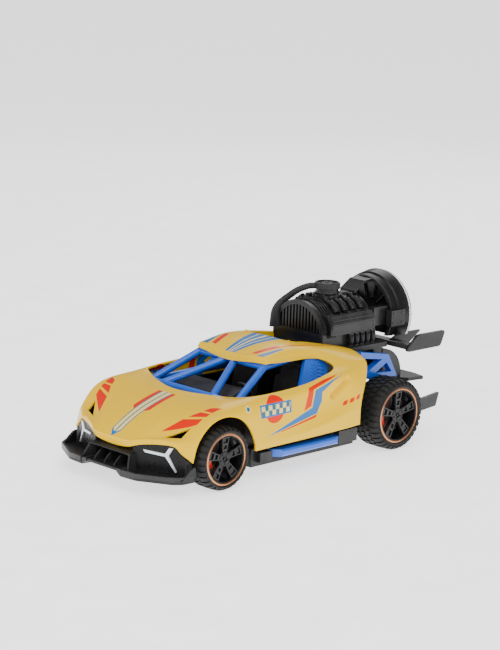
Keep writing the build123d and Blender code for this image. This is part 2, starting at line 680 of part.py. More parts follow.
def brake_calipers():
    """Red calipers on the forward side of each wheel, each on an arm from its bearing block."""
    block_face = BLOCK_Y[1]
    with BuildPart() as calipers:
        for wheel in (FRONT, REAR):
            outer, slot_r = wheel.rim_r - 1.8, wheel.rim_r - 3.6
            disc = (wheel.face_y - 8.0, wheel.face_y - 7.0)
            wedge = [(wheel.x, wheel.z), (wheel.x + 20, wheel.z + 13), (wheel.x + 20, wheel.z - 13)]
            arm_x, arm_z = (wheel.x + outer - 3.2, wheel.x + outer - 0.6), (wheel.z - 2.5, wheel.z + 2.5)
            for side in (-1, 1):
                y0, y1 = side * (disc[0] - 2.2), side * (disc[1] + 1.9)
                slot_y = side * (disc[0] - 0.4), side * (disc[1] + 0.4)
                with BuildSketch(Plane.XZ.offset(-y0)):
                    with Locations((wheel.x, wheel.z)):
                        Circle(outer)
                        Circle(outer - 4.6, mode=Mode.SUBTRACT)
                    with BuildLine():
                        Polyline(*wedge, close=True)
                    make_face(mode=Mode.INTERSECT)
                extrude(amount=y0 - y1)
                bar_y(wheel.x, wheel.z, slot_r, *slot_y, mode=Mode.SUBTRACT)
                block(arm_x, sorted((side * block_face, y0)), arm_z)
                foot_y = sorted((side * block_face, side * (block_face + 1.6)))
                block((wheel.x + 1.8, arm_x[0]), foot_y, arm_z)
    write("brake_calipers", calipers.part)


# ---------------------------------------------------------------- pull-back motor
def mesh_distance(teeth_a, teeth_b):
    return MODULE * (teeth_a + teeth_b) / 2


IDLER = (
    REAR_X + mesh_distance(AXLE_TEETH, WHEEL_TEETH) * cos(IDLER_DIR),
    REAR_Z + mesh_distance(AXLE_TEETH, WHEEL_TEETH) * sin(IDLER_DIR),
)
BARREL = (
    IDLER[0] + mesh_distance(PINION_TEETH, BARREL_TEETH) * cos(BARREL_DIR),
    IDLER[1] + mesh_distance(PINION_TEETH, BARREL_TEETH) * sin(BARREL_DIR),
)
FIRST_MESH_Y, SECOND_MESH_Y = (-7.0, -3.4), (-2.4, 1.6)
DRUM_Y, SPRING_Y = (1.6, 9.6), (2.6, 8.6)
DRUM_R, DRUM_BORE_R = 10.0, 9.0


def involute(angle):
    return tan(angle) - angle


def gear_outline(teeth, centre, tooth_at):
    """Corners (x, z) of an involute spur gear with one tooth centred at this angle."""
    pitch_r = MODULE * teeth / 2
    base_r = pitch_r * cos(PRESSURE)
    root_r, tip_r = pitch_r - DEDENDUM * MODULE, pitch_r + ADDENDUM * MODULE
    half_pitch = pi / (2 * teeth) - BACKLASH / (4 * pitch_r) + involute(PRESSURE)
    start_r = max(base_r, root_r)
    radii = [root_r] + [start_r + (tip_r - start_r) * i / 5 for i in range(6)]
    if start_r == root_r:
        radii = radii[1:]
    flank = [(r, half_pitch - involute(acos(min(base_r / r, 1.0)))) for r in radii]
    corners = []
    for tooth in range(teeth):
        middle = tooth_at + 2 * pi * tooth / teeth
        for r, half in flank:
            corners.append((centre[0] + r * cos(middle - half), centre[1] + r * sin(middle - half)))
        for r, half in reversed(flank):
            corners.append((centre[0] + r * cos(middle + half), centre[1] + r * sin(middle + half)))
    return corners


def gears():
    """The train from the rear axle to the spring barrel, all in mesh."""
    with BuildPart() as axle_gear:
        prism_y(gear_outline(AXLE_TEETH, (REAR_X, REAR_Z), IDLER_DIR), *FIRST_MESH_Y)
        bar_y(REAR_X, REAR_Z, 3.0, FIRST_MESH_Y[1], 1.0)
        bar_y(REAR_X, REAR_Z, AXLE_R, -20, 20, mode=Mode.SUBTRACT)
    write("axle_gear", axle_gear.part)
    with BuildPart() as idler:
        prism_y(gear_outline(WHEEL_TEETH, IDLER, IDLER_DIR + pi + pi / WHEEL_TEETH), *FIRST_MESH_Y)
        bar_y(*IDLER, 2.2, FIRST_MESH_Y[1], SECOND_MESH_Y[0])
        prism_y(gear_outline(PINION_TEETH, IDLER, BARREL_DIR), *SECOND_MESH_Y)
        bar_y(*IDLER, PIN_R + RUN_GAP, -20, 20, mode=Mode.SUBTRACT)
    write("idler_gear", idler.part)
    with BuildPart() as barrel:
        prism_y(gear_outline(BARREL_TEETH, BARREL, BARREL_DIR + pi + pi / BARREL_TEETH), *SECOND_MESH_Y)
        bar_y(*BARREL, DRUM_R, *DRUM_Y)
        bar_y(*BARREL, DRUM_BORE_R, SPRING_Y[0] - 0.2, DRUM_Y[1], mode=Mode.SUBTRACT)
        bar_y(*BARREL, 2.0, SPRING_Y[0] - 0.4, DRUM_Y[1])
        bar_y(*BARREL, PIN_R + RUN_GAP, -20, 20, mode=Mode.SUBTRACT)
    write("spring_barrel", barrel.part)


def mainspring():
    """Flat steel spiral in the barrel, made of half turns about two centres."""
    cx, cz = BARREL
    first_r, half_step, half_turns, half_t = 2.6, 0.42, 14, 0.14
    with BuildPart() as spring:
        with BuildSketch(Plane.XZ.offset(-SPRING_Y[0])):
            for turn in range(half_turns):
                r = first_r + half_step * turn
                x = cx + (half_step if turn % 2 else 0)
                with BuildSketch(Plane.XY, mode=Mode.PRIVATE) as half:
                    with Locations((x, cz)):
                        Circle(r + half_t)
                        Circle(r - half_t, mode=Mode.SUBTRACT)
                    with Locations((x, cz + (-15 if turn % 2 else 15))):
                        Rectangle(60, 30, mode=Mode.INTERSECT)
                add(half.sketch)
        extrude(amount=SPRING_Y[0] - SPRING_Y[1])
    write("mainspring", spring.part)


CASE_SIDE = [(-68, FLOOR_TOP), (-26.6, FLOOR_TOP), (-26.6, 34), (-40, 46), (-61, 46), (-68, 30)]
CASE_INNER = [(-66.6, 10.9), (-28.0, 10.9), (-28.0, 33.4), (-40.5, 44.6), (-60, 44.6), (-66.6, 29.6)]
CASE_SCREWS = [(-64.2, 13.4), (-30.4, 13.4), (-60.2, 43.0)]


def motor_case():
    """Two halves of the sealed gear case, split at the middle of the car."""
    with BuildPart() as half:
        prism_y(CASE_SIDE, 0, CASE_HALF_W)
        prism_y(CASE_INNER, -1, CASE_HALF_W - 1.4, mode=Mode.SUBTRACT)
        bar_y(REAR_X, REAR_Z, AXLE_R + RUN_GAP, 5, 20, mode=Mode.SUBTRACT)
        for centre in (IDLER, BARREL):
            bar_y(*centre, PIN_R, 5, 20, mode=Mode.SUBTRACT)
        for spot in CASE_SCREWS:
            bar_y(*spot, 0.9, -1, 20, mode=Mode.SUBTRACT)
    write_pair("motor_case", half.part)
    with BuildPart() as pins:
        for centre in (IDLER, BARREL):
            bar_y(*centre, PIN_R, -CASE_HALF_W, CASE_HALF_W)
    write("motor_pins", pins.part)
    with BuildPart() as screws:
        for spot in CASE_SCREWS:
            bar_y(*spot, 0.9, -CASE_HALF_W, CASE_HALF_W)
            bar_y(*spot, 1.7, CASE_HALF_W, CASE_HALF_W + 1.1)
    write("case_screws", screws.part)


# ---------------------------------------------------------------- all pieces
os.makedirs("parts", exist_ok=True)
body_shell()
roll_cage()
rear_frames()
side_steps()
chassis()
chassis_screws()
floor_tub()
dashboard()
steering_wheel()
seats()
front_splitter()
lamps()
engine_cradle()
engine_block()
engine_front_grille()
valve_covers()
intake_runners()
header_pipes()
filler()
tail_ring()
rear_wing()
rear_cover()
rear_bumper()
wheel_pieces(FRONT)
wheel_pieces(REAR)
brake_calipers()
gears()
mainspring()
motor_case()
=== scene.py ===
"""Looks of the pull-back car: painted body, wheels, engine, lamps, wing and cage panels.
"""

import json
from math import cos, hypot, pi, radians, sin

import bmesh
import bpy
from mathutils import Matrix, Vector


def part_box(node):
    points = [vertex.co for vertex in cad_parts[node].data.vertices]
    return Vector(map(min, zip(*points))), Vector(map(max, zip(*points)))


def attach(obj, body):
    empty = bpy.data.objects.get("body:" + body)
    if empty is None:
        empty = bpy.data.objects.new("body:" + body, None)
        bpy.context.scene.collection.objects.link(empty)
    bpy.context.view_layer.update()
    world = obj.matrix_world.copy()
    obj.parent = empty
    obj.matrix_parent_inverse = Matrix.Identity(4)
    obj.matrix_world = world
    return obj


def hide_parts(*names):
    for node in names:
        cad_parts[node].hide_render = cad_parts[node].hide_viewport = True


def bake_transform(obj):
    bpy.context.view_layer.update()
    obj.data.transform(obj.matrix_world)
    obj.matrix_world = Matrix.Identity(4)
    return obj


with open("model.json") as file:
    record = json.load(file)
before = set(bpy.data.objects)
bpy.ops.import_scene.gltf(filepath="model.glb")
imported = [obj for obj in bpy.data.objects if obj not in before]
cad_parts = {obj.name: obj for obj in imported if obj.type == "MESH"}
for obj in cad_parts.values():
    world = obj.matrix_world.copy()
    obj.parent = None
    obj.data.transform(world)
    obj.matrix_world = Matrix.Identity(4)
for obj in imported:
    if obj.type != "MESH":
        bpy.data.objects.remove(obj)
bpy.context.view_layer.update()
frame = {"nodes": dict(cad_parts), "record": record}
MM = 0.001


def box_mm(node_name):
    """Lowest and highest corner of a CAD node, in millimetres."""
    return [[round(value / MM, 3) for value in corner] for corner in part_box(node_name)]


def joint_mm(name):
    """A joint's place, in millimetres."""
    joints = {joint["name"]: joint for joint in frame["record"]["behaviour"]["joints"]}
    return [round(value / MM, 3) for value in joints[name]["pos_m"]]


# ---- camera, light and floor
def make_camera():
    """Camera at the left front corner, a little above the car, with a long lens."""
    data = bpy.data.cameras.new("camera")
    data.lens, data.sensor_width, data.clip_end = 120.3, 36.0, 20.0
    camera = bpy.data.objects.new("camera", data)
    azimuth, elevation, roll = radians(45.2), radians(12.27), radians(1.85)
    back = Vector((cos(azimuth) * cos(elevation), sin(azimuth) * cos(elevation), sin(elevation)))
    level = Vector((-sin(azimuth), cos(azimuth), 0))
    right = level * cos(roll) + back.cross(level) * sin(roll)
    turn = Matrix((right, back.cross(right), back)).transposed().to_4x4()
    camera.matrix_world = Matrix.Translation((0.8519, 0.8478, 0.3330)) @ turn
    bpy.context.collection.objects.link(camera)
    bpy.context.scene.camera = camera


def area_light(name, place, target, size, power):
    data = bpy.data.lights.new(name, "AREA")
    data.shape, data.size, data.energy = "DISK", size, power
    light = bpy.data.objects.new(name, data)
    light.location = place
    light.rotation_euler = (Vector(target) - Vector(place)).to_track_quat("-Z", "Y").to_euler()
    bpy.context.collection.objects.link(light)


def make_studio():
    """Soft boxes over and beside the car, a pale world and a pale floor."""
    centre = (0, 0, 0.04)
    area_light("key", (0.55, 0.75, 1.0), centre, 0.9, 8.3)
    area_light("front_fill", (1.1, -0.1, 0.45), centre, 0.8, 4.1)
    area_light("back_rim", (-0.9, -0.5, 0.8), centre, 0.9, 4.3)
    area_light("top", (0.0, 0.0, 1.2), centre, 1.0, 4.0)
    world = bpy.data.worlds.new("studio")
    world.use_nodes = True
    world.node_tree.nodes["Background"].inputs["Color"].default_value = (1, 1, 1, 1)
    world.node_tree.nodes["Background"].inputs["Strength"].default_value = 0.36
    bpy.context.scene.world = world
    floor = bpy.data.meshes.new("floor")
    reach = 6
    corners = [(-reach, -reach, 0), (reach, -reach, 0), (reach, reach, 0), (-reach, reach, 0)]
    floor.from_pydata(corners, [], [(0, 1, 2, 3)])
    floor_object = bpy.data.objects.new("floor", floor)
    bpy.context.collection.objects.link(floor_object)
    floor.materials.append(plastic("floor_paper", (0.93, 0.93, 0.93), 0.8, grain=0.0))
    shader = floor.materials[0].node_tree.nodes["Principled BSDF"]
    shader.inputs["Emission Color"].default_value = (1, 1, 1, 1)
    shader.inputs["Emission Strength"].default_value = 1.5


# ---- materials
def node(tree, kind, **values):
    made = tree.nodes.new(kind)
    for key, value in values.items():
        setattr(made, key, value)
    return made


def math_node(tree, operation, a, b=None, clamp=False):
    made = node(tree, "ShaderNodeMath", operation=operation, use_clamp=clamp)
    for i, value in enumerate((a, b)):
        if value is None:
            continue
        if isinstance(value, (int, float)):
            made.inputs[i].default_value = value
        else:
            tree.links.new(value, made.inputs[i])
    return made.outputs[0]


def noise(tree, scale, detail=4.0, rough=0.5):
    coords = node(tree, "ShaderNodeTexCoord")
    made = node(tree, "ShaderNodeTexNoise")
    made.inputs["Scale"].default_value = scale
    made.inputs["Detail"].default_value = detail
    made.inputs["Roughness"].default_value = rough
    tree.links.new(coords.outputs["Object"], made.inputs["Vector"])
    return made.outputs["Fac"]


def ramp(tree, factor, stops):
    made = node(tree, "ShaderNodeValToRGB")
    elements = made.color_ramp.elements
    while len(elements) < len(stops):
        elements.new(0.5)
    for element, (place, colour) in zip(elements, stops):
        element.position, element.color = place, (*colour[:3], 1)
    tree.links.new(factor, made.inputs["Fac"])
    return made.outputs["Color"]


def spread(tree, factor, low, high):
    made = node(tree, "ShaderNodeMapRange")
    made.inputs["To Min"].default_value, made.inputs["To Max"].default_value = low, high
    tree.links.new(factor, made.inputs["Value"])
    return made.outputs["Result"]


def mix(tree, factor, a, b):
    """Colour a where the factor is 0 and colour b where it is 1."""
    made = node(tree, "ShaderNodeMix", data_type="RGBA")
    for socket, value in ((made.inputs["Factor"], factor), (made.inputs["A"], a), (made.inputs["B"], b)):
        if isinstance(value, (int, float)):
            socket.default_value = value
        elif isinstance(value, tuple):
            socket.default_value = (*value[:3], 1)
        else:
            tree.links.new(value, socket)
    return made.outputs["Result"]


def shade(colour, factor):
    return tuple(min(c * factor, 1.0) for c in colour[:3])


def plastic(name, colour, rough, grain=0.02, grain_scale=2600, coat=0.0, metal=0.0, vary=0.08):
    """Moulded plastic with slight colour and gloss variation and a fine surface grain."""
    material = bpy.data.materials.new(name)
    material.use_nodes = True
    tree = material.node_tree
    shader = tree.nodes["Principled BSDF"]
    large = noise(tree, 38, 5)
    fine = noise(tree, grain_scale, 3, 0.6)
    tint = ramp(tree, large, [(0.3, shade(colour, 1 - vary)), (0.7, shade(colour, 1 + vary))])
    tree.links.new(tint, shader.inputs["Base Color"])
    gloss = spread(tree, noise(tree, 210, 6, 0.65), max(rough - 0.06, 0.03), rough + 0.07)
    tree.links.new(gloss, shader.inputs["Roughness"])
    shader.inputs["Metallic"].default_value = metal
    shader.inputs["Specular IOR Level"].default_value = 0.3
    shader.inputs["Coat Weight"].default_value = coat
    shader.inputs["Coat Roughness"].default_value = 0.06
    if grain:
        bump = node(tree, "ShaderNodeBump")
        bump.inputs["Strength"].default_value = min(grain * 12, 1.0)
        bump.inputs["Distance"].default_value = grain * MM
        tree.links.new(fine, bump.inputs["Height"])
        tree.links.new(bump.outputs["Normal"], shader.inputs["Normal"])
    return material


def edged_plastic(name, colour, rough, grain=0.03, edge=0.10):
    """Satin black moulding whose proud edges are rubbed a little paler."""
    material = plastic(name, colour, rough, grain)
    tree = material.node_tree
    shader = tree.nodes["Principled BSDF"]
    tint = shader.inputs["Base Color"].links[0].from_socket
    geometry = node(tree, "ShaderNodeNewGeometry")
    wear = ramp(tree, geometry.outputs["Pointiness"], [(0.53, (0, 0, 0)), (0.64, (1, 1, 1))])
    amount = math_node(tree, "MULTIPLY", wear, noise(tree, 160, 5))
    pale = tuple(c + edge for c in colour[:3])
    tree.links.new(mix(tree, amount, tint, pale), shader.inputs["Base Color"])
    return material


def clear_plastic(name):
    material = bpy.data.materials.new(name)
    material.use_nodes = True
    tree = material.node_tree
    shader = tree.nodes["Principled BSDF"]
    tint = ramp(tree, noise(tree, 60, 3), [(0.3, (0.88, 0.91, 0.93)), (0.7, (0.97, 0.98, 0.99))])
    tree.links.new(tint, shader.inputs["Base Color"])
    gloss = spread(tree, noise(tree, 300, 4), 0.05, 0.16)
    tree.links.new(gloss, shader.inputs["Roughness"])
    shader.inputs["Transmission Weight"].default_value = 0.72
    shader.inputs["IOR"].default_value = 1.46
    return material


def rubber(name, colour, rough):
    """Matt rubber with fine pores and a dusty tint."""
    material = plastic(name, colour, rough, grain=0.05, grain_scale=1900, vary=0.22)
    material.node_tree.nodes["Principled BSDF"].inputs["Specular IOR Level"].default_value = 0.35
    return material


# ---- printed stripes
RED, BLUE, CREAM, TEAL = (0.85, 0.012, 0.0), (0.01, 0.17, 0.50), (0.95, 0.78, 0.30), (0.03, 0.16, 0.24)


class Print:
    """Builds colour masks on the body from flat shapes given in millimetres."""

    def __init__(self, tree):
        self.tree = tree
        coords = node(tree, "ShaderNodeTexCoord")
        split = node(tree, "ShaderNodeSeparateXYZ")
        tree.links.new(coords.outputs["Object"], split.inputs[0])
        self.x, y, self.z = split.outputs
        self.y = math_node(tree, "ABSOLUTE", y)

    def edge(self, u, v, a, b):
        """1 on the left of the line from a to b in the (u, v) plane."""
        du, dv = (b[0] - a[0]), (b[1] - a[1])
        length = hypot(du, dv)
        across = math_node(self.tree, "MULTIPLY", u, -dv / length)
        along = math_node(self.tree, "MULTIPLY", v, du / length)
        total = math_node(self.tree, "ADD", across, along)
        offset = (-dv * a[0] + du * a[1]) / length * MM
        return math_node(self.tree, "GREATER_THAN", total, offset)

    def convex(self, u, v, corners):
        """1 inside a convex shape; its corners may be given either way round."""
        area = sum(p[0] * q[1] - q[0] * p[1] for p, q in zip(corners, corners[1:] + corners[:1]))
        if area < 0:
            corners = corners[::-1]
        mask = None
        for a, b in zip(corners, corners[1:] + corners[:1]):
            part = self.edge(u, v, a, b)
            mask = part if mask is None else math_node(self.tree, "MULTIPLY", mask, part)
        return mask

    def disc(self, u, v, centre, radius):
        du = math_node(self.tree, "SUBTRACT", u, centre[0] * MM)
        dv = math_node(self.tree, "SUBTRACT", v, centre[1] * MM)
        squares = [math_node(self.tree, "MULTIPLY", d, d) for d in (du, dv)]
        return math_node(self.tree, "LESS_THAN", math_node(self.tree, "ADD", *squares), (radius * MM) ** 2)

    def above(self, value, limit):
        return math_node(self.tree, "GREATER_THAN", value, limit * MM)

    def both(self, a, b):
        return math_node(self.tree, "MULTIPLY", a, b)


def body_paint():
    """Gloss yellow with the stripes, slashes and roundel printed on it."""
    material = plastic("body_yellow", (1.0, 0.60, 0.0), 0.2, grain=0.006, grain_scale=900, vary=0.015)
    tree = material.node_tree
    shader = tree.nodes["Principled BSDF"]
    shader.inputs["Specular Tint"].default_value = (1.0, 0.72, 0.12, 1)
    colour = shader.inputs["Base Color"].links[0].from_socket
    ink = Print(tree)
    x, y, z = ink.x, ink.y, ink.z
    hood = ink.both(ink.above(x, 60), ink.above(z, 24.8))
    roof = ink.both(ink.above(z, 57.5), math_node(tree, "LESS_THAN", x, 28 * MM))
    side = ink.above(y, 40)

    for area, (u, v), shapes in (
        (hood, (x, y), (
            # Hood: a pointed stripe that widens into a block near the windscreen.
            ([(92.6, -1), (92.6, 4.2), (90.6, 6.7), (71.6, 6.7), (71.6, -1)], RED),
            ([(112.6, -0.4), (108, 3.5), (71.6, 4.4), (71.6, -0.4)], TEAL),
            ([(111.2, -0.4), (107.6, 2.8), (71.6, 3.4), (71.6, -0.4)], CREAM),
            ([(111.2, -0.4), (111.2, 0.45), (71.6, 0.5), (71.6, -0.4)], TEAL),
            ([(112.6, -0.4), (108.4, 3.4), (109.6, -0.4)], BLUE),
            # Fender slashes over the front wheels.
            ([(98.9, 25.4), (88.4, 31), (84.3, 42), (87.8, 41)], RED),
            ([(86.2, 32.4), (81, 36.4), (80.4, 43.1), (82.8, 42.6)], RED),
            ([(79.6, 37), (76, 38.9), (73, 44.5), (79.2, 43.4)], RED),
        )),
        (roof, (x, y), (
            # Roof: a wedge in the middle and a pair of stripes at each side.
            ([(25.4, -1), (25.4, 3.6), (0.5, 9.6), (-8, 11.6), (-8, -1)], BLUE),
            ([(25.2, 1), (25.2, 1.7), (-6, 6.3), (-6, 5.4)], CREAM),
            ([(25.2, -0.4), (25.2, 0.35), (-6, 1.1), (-6, -0.4)], CREAM),
            ([(22.6, 14.4), (22.2, 18), (9, 22.2), (6, 22.6), (8.5, 18.6)], RED),
            ([(9, 21), (9, 22.2), (-6, 24.6), (-6, 23.7)], RED),
            ([(-5.9, 23.7), (-5.9, 24.6), (-22, 25.3), (-22, 24.6)], RED),
            ([(-21.9, 24.6), (-21.9, 25.3), (-38, 24.3), (-38, 23.9)], RED),
            ([(24, 19.8), (23.6, 24.2), (8, 25.2), (8, 24)], BLUE),
            ([(24, 19.8), (23.6, 24.2), (22, 24.4), (22.2, 20.2)], TEAL),
        )),
        (side, (x, z), (
            # Door: a blue stripe with two bends, red above and below it.
            ([(46.6, 23.6), (7.5, 34.8), (0, 37), (3.8, 31)], BLUE),
            ([(7.6, 34.6), (5.5, 44.5), (-0.2, 42.5), (-0.3, 37.2), (3.8, 31)], BLUE),
            ([(5.6, 44.4), (-9.5, 48.2), (-9.5, 47.3), (-0.3, 42.4)], BLUE),
            ([(-9.4, 48.2), (-18.8, 50.2), (-9.4, 47.3)], BLUE),
            ([(14.2, 33.8), (10.4, 46.2), (6.9, 45.1), (8.3, 35.8)], RED),
            ([(10.5, 46.1), (-2.9, 48.8), (-14.2, 50.2), (6.8, 45)], RED),
            ([(36.4, 25), (3.6, 30.5), (5, 28.9), (31, 25.4)], RED),
        )),
    ):
        for corners, tint in shapes:
            colour = mix(tree, ink.both(area, ink.convex(u, v, corners)), colour, tint)

    square_mm = 2.7
    checks = node(tree, "ShaderNodeTexChecker")
    checks.inputs["Scale"].default_value = 1 / (square_mm * MM)
    checks.inputs["Color1"].default_value, checks.inputs["Color2"].default_value = (*CREAM, 1), (*TEAL, 1)
    square = node(tree, "ShaderNodeCombineXYZ")
    for socket, value, shift in ((square.inputs[0], x, 0.9), (square.inputs[1], z, -0.8)):
        tree.links.new(math_node(tree, "ADD", value, shift * MM), socket)
    tree.links.new(square.outputs[0], checks.inputs["Vector"])
    squares = checks.outputs["Color"]

    roundel, ring = (37.4, 38.5), (57.6, 41.6)
    marks = [
        # Roundel on the door with a plain chequered band across it.
        (ink.disc(x, z, roundel, 7.5), RED),
        (ink.convex(x, z, [(48.4, 35.0), (24.4, 35.0), (24.9, 42.2), (48.9, 42.2)]), BLUE),
        (ink.convex(x, z, [(47.6, 35.9), (25.4, 35.9), (25.7, 41.3), (47.9, 41.3)]), squares),
        # A small plain ring ahead of the door.
        (ink.disc(x, z, ring, 2.0), CREAM),
        (ink.disc(x, z, ring, 1.2), TEAL),
    ]
    # Three plain dashes behind the door.
    for i in range(3):
        left, low = -16.4 - 5.2 * i, 32.0 + 0.9 * i
        dash = [(left, low), (left - 3.4, low + 0.6), (left - 4.6, low + 3.0), (left - 1.2, low + 2.4)]
        marks.append((ink.convex(x, z, dash), RED))
    for mask, tint in marks:
        colour = mix(tree, ink.both(side, mask), colour, tint)
    tree.links.new(colour, shader.inputs["Base Color"])
    return material


def make_materials():
    """One material for each material slot of the record."""
    made = {"body_yellow": body_paint(), "lamp_black": lamp_mesh()}
    made["ring_clear"] = clear_plastic("ring_clear")
    for kind, name, colour, rough, more in (
        (plastic, "cage_blue", (0.012, 0.13, 0.72), 0.2, dict(grain=0.008, coat=0.4, vary=0.05)),
        (edged_plastic, "interior_black", (0.010, 0.010, 0.012), 0.38, dict(edge=0.04)),
        (edged_plastic, "chassis_black", (0.009, 0.009, 0.010), 0.36, dict(edge=0.04)),
        (plastic, "lamp_white", (0.80, 0.84, 0.90), 0.3, dict(grain=0.01, metal=0.35)),
        (edged_plastic, "engine_black", (0.008, 0.008, 0.009), 0.29, dict(edge=0.06)),
        (rubber, "cap_rubber", (0.020, 0.020, 0.021), 0.45, {}),
        (rubber, "tyre_rubber", (0.009, 0.009, 0.009), 0.62, {}),
        (plastic, "rim_black", (0.008, 0.008, 0.009), 0.24, dict(grain=0.006)),
        (plastic, "ring_copper", (0.62, 0.27, 0.12), 0.3, dict(grain=0.01, metal=0.85)),
        (plastic, "brake_red", (0.72, 0.02, 0.008), 0.28, dict(grain=0.008, coat=0.3)),
        # brake_dark is a darker copy of the red brake plastic: painted shade for the parts of the red brake
        # insert that lie in shadow behind the spokes.
        (edged_plastic, "brake_dark", (0.05, 0.012, 0.012), 0.4, {}),
        (plastic, "steel", (0.52, 0.52, 0.54), 0.28, dict(grain=0.02, metal=1.0)),
        (plastic, "gear_nylon", (0.83, 0.82, 0.77), 0.4, dict(grain=0.01)),
        (edged_plastic, "motor_grey", (0.085, 0.09, 0.10), 0.45, {}),
    ):
        made[name] = kind(name, colour, rough, **more)
    return made


def lamp_mesh():
    """Black lamp panel with a raised diamond mesh, whose hollows between the wires are painted darker than
    the wires, as painted shade.
    """
    material = plastic("lamp_black", (0.014, 0.014, 0.016), 0.28, grain=0.01)
    tree = material.node_tree
    shader = tree.nodes["Principled BSDF"]
    coords = node(tree, "ShaderNodeTexCoord")
    split = node(tree, "ShaderNodeSeparateXYZ")
    tree.links.new(coords.outputs["Object"], split.inputs[0])
    across, up = split.outputs[1], split.outputs[2]
    waves = []
    for sign in (1, -1):
        slope = math_node(tree, "MULTIPLY", up, sign * 1.25)
        phase = math_node(tree, "MULTIPLY", math_node(tree, "ADD", across, slope), 2 * pi / (1.7 * MM))
        waves.append(math_node(tree, "ABSOLUTE", math_node(tree, "SINE", phase)))
    cells = math_node(tree, "MINIMUM", *waves)
    wires = ramp(tree, cells, [(0.14, (1, 1, 1)), (0.34, (0, 0, 0))])
    bump = node(tree, "ShaderNodeBump")
    bump.inputs["Strength"].default_value, bump.inputs["Distance"].default_value = 1.0, 0.4 * MM
    tree.links.new(wires, bump.inputs["Height"])
    tree.links.new(bump.outputs["Normal"], shader.inputs["Normal"])
    # Painted shade: the hollows between the raised wires get a darker black than the wires themselves.
    tint = mix(tree, wires, (0.008, 0.008, 0.009), (0.055, 0.056, 0.06))
    tree.links.new(tint, shader.inputs["Base Color"])
    return material


# ---- mesh helpers
def add_mesh(name, points, faces, slot, body="car", replace=()):
    """A new piece from points in millimetres; it rides on a body and takes a slot's material."""
    mesh = bpy.data.meshes.new(name)
    mesh.from_pydata([Vector(p) * MM for p in points], [], faces)
    mesh.materials.append(MATERIALS[slot])
    mesh.validate()
    made = bpy.data.objects.new(name, mesh)
    bpy.context.collection.objects.link(made)
    for polygon in mesh.polygons:
        polygon.use_smooth = True
    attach(made, body)
    if replace:
        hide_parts(*replace)
    return made


def apply_modifiers(made):
    """Turns the modifiers of an object into its mesh."""
    graph = bpy.context.evaluated_depsgraph_get()
    mesh = bpy.data.meshes.new_from_object(made.evaluated_get(graph))
    made.modifiers.clear()
    made.data = mesh


class Cage:
    """Control points shared by place, the faces between them and their creases."""

    def __init__(self):
        self.points, self.index, self.faces, self.creases, self.corners = [], {}, [], {}, []

    def point(self, spot):
        key = tuple(round(v, 3) for v in spot)
        if key not in self.index:
            self.index[key] = len(self.points)
            self.points.append(key)
        return self.index[key]

    def grid(self, rows, skip=()):
        """Quads between rows of equal length; skip lists the (row, column) cells left open."""
        for i, (front, back) in enumerate(zip(rows, rows[1:])):
            for j in range(len(front) - 1):
                if (i, j) not in skip:
                    self.face(front[j], front[j + 1], back[j + 1], back[j])

    def face(self, *corners):
        self.faces.append([self.point(c) for c in corners])

    def crease(self, line, weight):
        ids = [self.point(c) for c in line]
        for a, b in zip(ids, ids[1:]):
            self.creases[frozenset((a, b))] = weight

    def corner(self, *spots):
        self.corners += [self.point(spot) for spot in spots]

    def build(self, name, slot, level, replace=()):
        """Makes a piece from the half and its mirror image, subdivided."""
        half = len(self.points)
        points, faces, twin = list(self.points), list(self.faces), {}
        for i in range(half):
            x, y, z = self.points[i]
            if abs(y) < 1e-6:
                twin[i] = i
            else:
                twin[i] = len(points)
                points.append((x, -y, z))
        faces += [[twin[i] for i in reversed(face)] for face in self.faces]
        made = add_mesh(name, points, faces, slot, replace=replace)
        mesh = made.data
        layer = mesh.attributes.new("crease_edge", "FLOAT", "EDGE")
        original = {copy: i for i, copy in twin.items()}
        for edge in mesh.edges:
            key = frozenset(original.get(v, v) for v in edge.vertices)
            layer.data[edge.index].value = self.creases.get(key, 0.0)
        pins = mesh.attributes.new("crease_vert", "FLOAT", "POINT")
        for i in self.corners:
            pins.data[i].value = pins.data[twin[i]].value = 1.0
        subdivide = made.modifiers.new("subdivide", "SUBSURF")
        subdivide.levels = subdivide.render_levels = level
        subdivide.boundary_smooth = "PRESERVE_CORNERS"
        apply_modifiers(made)
        return made


# ---- painted body
# The left half of the body, as rows of control points from the nose to the tail. A row goes from the
# middle of the car outwards, or from the window line down.
NOSE = [
    (110, 0, 20.5), (110.6, 8.5, 21.4), (111, 14.9, 22.6), (108.7, 19.4, 25),
    (100.5, 39, 27), (100.3, 39.8, 23.6), (98, 45, 20.3), (96.4, 47.9, 18.2),
]
RIDGE = [
    (112.4, 0, 25.6), (112.4, 8.5, 25.6), (111.9, 15.4, 26.2), (107.8, 20.6, 28),
    (100, 38.4, 29), (98.6, 41.4, 28), (96, 47.1, 24.3), (95.2, 48, 22.3),
]
SLOT_LOW = [
    (107.4, 0, 29.3), (107.1, 8.8, 29.5), (105.6, 17.8, 29.6), (100, 29, 28.9),
    (96.3, 38.2, 29.8), (93.3, 43.8, 30.7), (93.3, 47.2, 29.7), (93.9, 48, 27.7),
]
SLOT_TOP = [
    (100.5, 0, 33.4), (100, 9, 33.8), (98.4, 18.6, 34.2), (94.6, 29.6, 33.4),
    (89.8, 39, 34.9), (87.6, 44, 36.3), (88.4, 47.3, 35.5), (89.3, 48, 33.7),
]
FENDER_FRONT = [
    (91.8, 0, 37.6), (91.2, 9.2, 38.1), (89.6, 19.2, 38.6), (86.4, 30, 39.2),
    (83.8, 38.8, 40.6), (82, 44.8, 41.2), (82.5, 48.4, 40.2), (83.2, 49, 38.8),
]
FENDER_TOP = [
    (81, 0, 41.1), (80.2, 9.3, 41.6), (78.2, 19.6, 42.2), (75.6, 30, 43),
    (74, 38.8, 44.4), (73.5, 45.5, 44.1), (74.1, 49.3, 42.5), (74.9, 49.9, 40.9),
]
